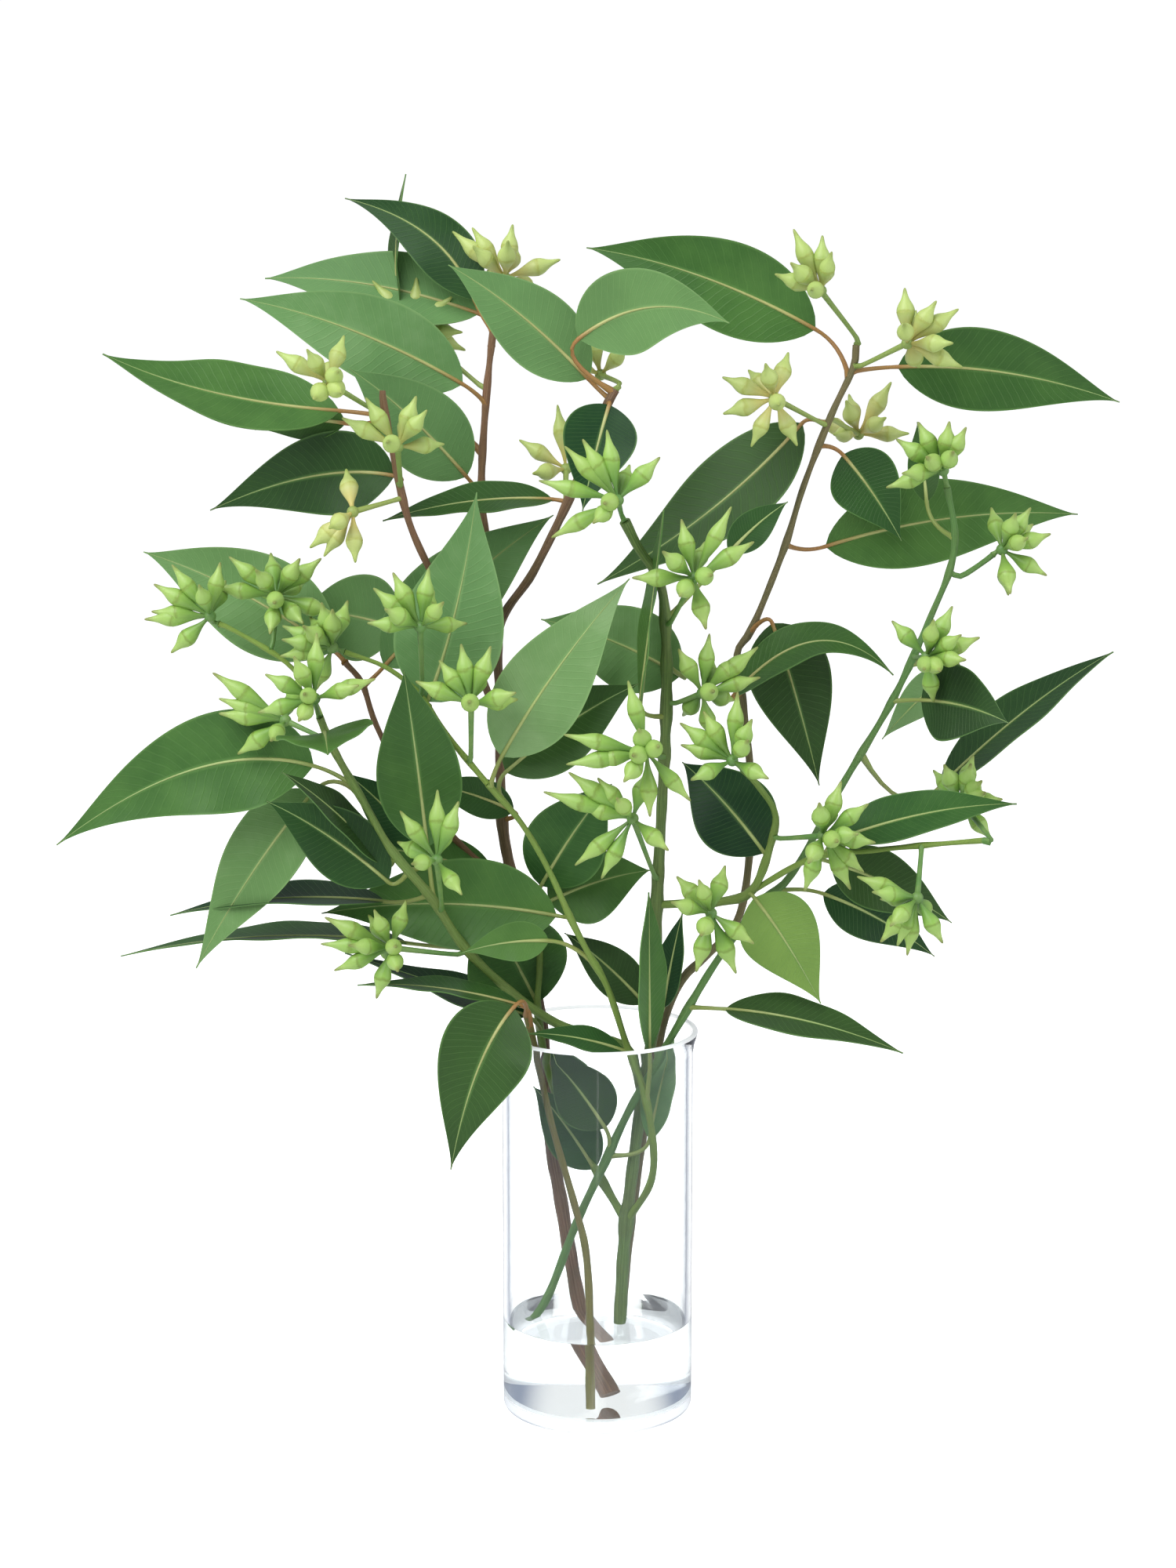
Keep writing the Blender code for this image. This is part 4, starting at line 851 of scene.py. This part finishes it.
def clearFinish(name, colour, ior):  # the shadow of clear things stays light
    material, tree, sockets = newFinish(name, 0.0, Base_Color=colour, IOR=ior, Transmission_Weight=1.0)
    shadow = addNode(tree, "LightPath").outputs["Is Shadow Ray"]
    tree.links.new(calc(tree, "SUBTRACT", 1.0, times(tree, shadow, 0.85)), sockets["Alpha"])
    mottle = mottled(tree, 14, 200)
    skin(tree, sockets, mottle["Patch"], 0.03, 0.001)
    return material


upperTones = [(0.0, (0.008, 0.036, 0.015)), (0.35, (0.028, 0.095, 0.022)), (0.6, (0.075, 0.185, 0.042)),
              (1.0, (0.210, 0.350, 0.080))]
underTones = [(0.0, (0.045, 0.110, 0.045)), (0.35, (0.080, 0.180, 0.065)), (0.65, (0.125, 0.265, 0.090)),
              (1.0, (0.290, 0.430, 0.220))]
leafUpper = leafFinish("leafUpper", upperTones, (0.14, 0.28, 0.08), 0.13, 0.38, 1.0)
leafUnder = leafFinish("leafUnder", underTones, (0.24, 0.40, 0.15), 0.15, 0.55, 1.4)
ribGreen = ribFinish("ribGreen", (0.24, 0.32, 0.08), (0.42, 0.50, 0.18), (0.25, 0.40, 0.14))
ribBrown = ribFinish("ribBrown", (0.34, 0.17, 0.05), (0.46, 0.47, 0.18), (0.25, 0.40, 0.14))
sprigs = dict(  # the slot, the rib's finish, then bark colours: dark, light, scarred and young
    sprig_olive=("leaf_and_stem", ribGreen, (0.080, 0.155, 0.035), (0.20, 0.31, 0.080),
                 (0.13, 0.14, 0.045), (0.27, 0.42, 0.050)),
    sprig_brown=("leaf_and_brown_stem", ribBrown, (0.12, 0.055, 0.028), (0.30, 0.18, 0.10),
                 (0.10, 0.09, 0.03), (0.30, 0.15, 0.07)),
    sprig_right=("leaf_and_stem", ribGreen, (0.050, 0.135, 0.035), (0.14, 0.29, 0.075),
                 (0.12, 0.15, 0.045), (0.14, 0.32, 0.070)),
    sprig_tall_right=("leaf_and_brown_stem", ribBrown, (0.10, 0.085, 0.035), (0.27, 0.22, 0.10),
                      (0.09, 0.12, 0.04), (0.26, 0.20, 0.08)),
    twig_low_left=("leaf_and_brown_stem", ribBrown, (0.10, 0.075, 0.025), (0.25, 0.22, 0.07),
                   (0.16, 0.06, 0.03), (0.27, 0.30, 0.05)))
print("materials made")

lines = stemLines()
for sprig, (slotName, rib, *tones) in sprigs.items():
    bm, layers = newSheet()
    for name, stem in stems.items():
        if stem["sprig"] == sprig:
            addStem(bm, layers, name, lines)
    for name, leaf in leaves.items():
        if stems[leaf[0]]["sprig"] == sprig:
            addLeaf(bm, layers, name, leaf, lines[leaf[0]])
    bark = barkFinish("bark_" + sprig, *tones)
    finishPiece(sprig + "_fine", bm, [leafUpper, leafUnder, rib, bark], slotName, sprig)
print("sprigs made")

shape = budShape()
budMaterials = [budFinish(), stalkFinish()]
for number, head in heads.items():
    addHead(f"bud_head_{number:02}", head, lines, shape, budMaterials)
bpy.data.meshes.remove(shape)
print("bud heads made")

# Painted highlight: the rim's bead and the sole are white and glow, though they are no lamp
rimGlow = newFinish("paintedRimGlow", 0.2, Base_Color=(0.93, 0.95, 0.97), Transmission_Weight=0.2,
                      Emission_Color=(0.95, 0.97, 1), Emission_Strength=0.3)[0]
makeVase([clearFinish("clearGlass", (0.97, 0.985, 0.985), 1.45), rimGlow])
makeWater(clearFinish("clearWater", (0.97, 0.985, 0.98), 1.33))
print("vase and water made")

# A pale floor, soft light and the camera
stage = dict(floor=60, gap=0.0003, paper=(0.93, 0.93, 0.93), glow=0.62, extra=0.25,
             world=(1.0, 1.0, 1.0), rear=(0.22, 0.25, 0.28), behind=(-0.8, 0.1), worldStrength=0.60,
             worldSeen=1.02, wings=(0.25, 0.75), wingColour=(0.30, 0.34, 0.44), mirrored=0.6,
             aim=(0, 0, 0.35))
lamps = dict(key=dict(at=(-1.0, -1.3, 2.0), size=2.2, power=62),
             side=dict(at=(1.8, -0.8, 1.0), size=1.6, power=16))


def seenStraight(tree):  # 1 for what the camera sees directly or through the glass
    path = addNode(tree, "LightPath").outputs
    return calc(tree, "MAXIMUM", path["Is Camera Ray"], path["Is Transmission Ray"])


def wings(tree, spot, back):  # painted reflection: grey wings beside the white, seen only as the glass bends them into view, and a greyer floor and sky for what surfaces mirror
    parts = split(tree, spot)
    depth = calc(tree, "MAXIMUM", calc(tree, "ADD", parts[1], back), 0.02)
    aside = calc(tree, "DIVIDE", calc(tree, "ABSOLUTE", parts[0]), depth)
    path = addNode(tree, "LightPath").outputs
    refracted = path["Is Transmission Ray"]
    bent = times(tree, band(tree, aside, *stage["wings"]), refracted)
    mirrored = calc(tree, "SUBTRACT", path["Is Glossy Ray"], refracted)
    return calc(tree, "MAXIMUM", bent, times(tree, mirrored, stage["mirrored"]))


def makeStage():
    bm = bmesh.new()
    bmesh.ops.create_grid(bm, x_segments=4, y_segments=4, size=stage["floor"])
    mesh = toMesh("floor", bm)
    floor = toScene("floor", mesh)
    floor.location.z = -stage["gap"]
    material, tree, sockets = newFinish("floorPaper", 0.9, Specular_IOR_Level=0.0, Emission_Color=(1, 1, 1))
    # Painted reflection: the floor turns grey for rays that the glass bends and for reflections
    grey = wings(tree, addNode(tree, "TexCoord").outputs["Object"], glass["wall"] * 2)
    tree.links.new(blend(tree, grey, stage["paper"], stage["wingColour"]), sockets["Base Color"])
    refracted = addNode(tree, "LightPath").outputs["Is Transmission Ray"]
    glow = times(tree, seenStraight(tree), stage["glow"])
    glow = calc(tree, "ADD", glow, times(tree, refracted, stage["extra"]))
    glow = times(tree, glow, calc(tree, "SUBTRACT", 1.0, grey))
    tree.links.new(glow, sockets["Emission Strength"])
    mesh.materials.append(material)
    world = bpy.data.worlds.new("studio")
    world.use_nodes = True
    sky = world.node_tree
    background = sky.nodes["Background"].inputs
    spot = addNode(sky, "TexCoord").outputs["Generated"]
    depth = band(sky, split(sky, spot)[1], *stage["behind"])
    colour = ramp(sky, depth, [(0, stage["rear"]), (1, stage["world"])])
    # Painted reflection: the sky turns grey the same way
    colour = blend(sky, wings(sky, spot, 0), colour, stage["wingColour"])
    sky.links.new(colour, background["Color"])
    fill = times(sky, seenStraight(sky), stage["worldSeen"] - stage["worldStrength"])
    sky.links.new(calc(sky, "ADD", fill, stage["worldStrength"]), background["Strength"])
    bpy.context.scene.world = world
    for name, lamp in lamps.items():
        light = bpy.data.lights.new(name, "AREA")
        light.size = lamp["size"]
        light.energy = lamp["power"]
        body = toScene(name, light)
        body.location = lamp["at"]
        aim = Vector(stage["aim"]) - body.location
        body.rotation_euler = aim.to_track_quat("-Z", "Y").to_euler()


def makeCamera():
    lens = bpy.data.cameras.new("camera")
    lens.sensor_fit = "HORIZONTAL"
    lens.sensor_width = picture["sensor"]
    lens.lens = picture["focal"] / picture["wide"] * picture["sensor"]
    camera = toScene("camera", lens)
    camera.location = eye
    camera.rotation_euler = (math.pi / 2 - pitch, 0, 0)
    bpy.context.scene.camera = camera


makeStage()
makeCamera()
bpy.context.scene.view_settings.view_transform = "Standard"
print("stage and camera made")
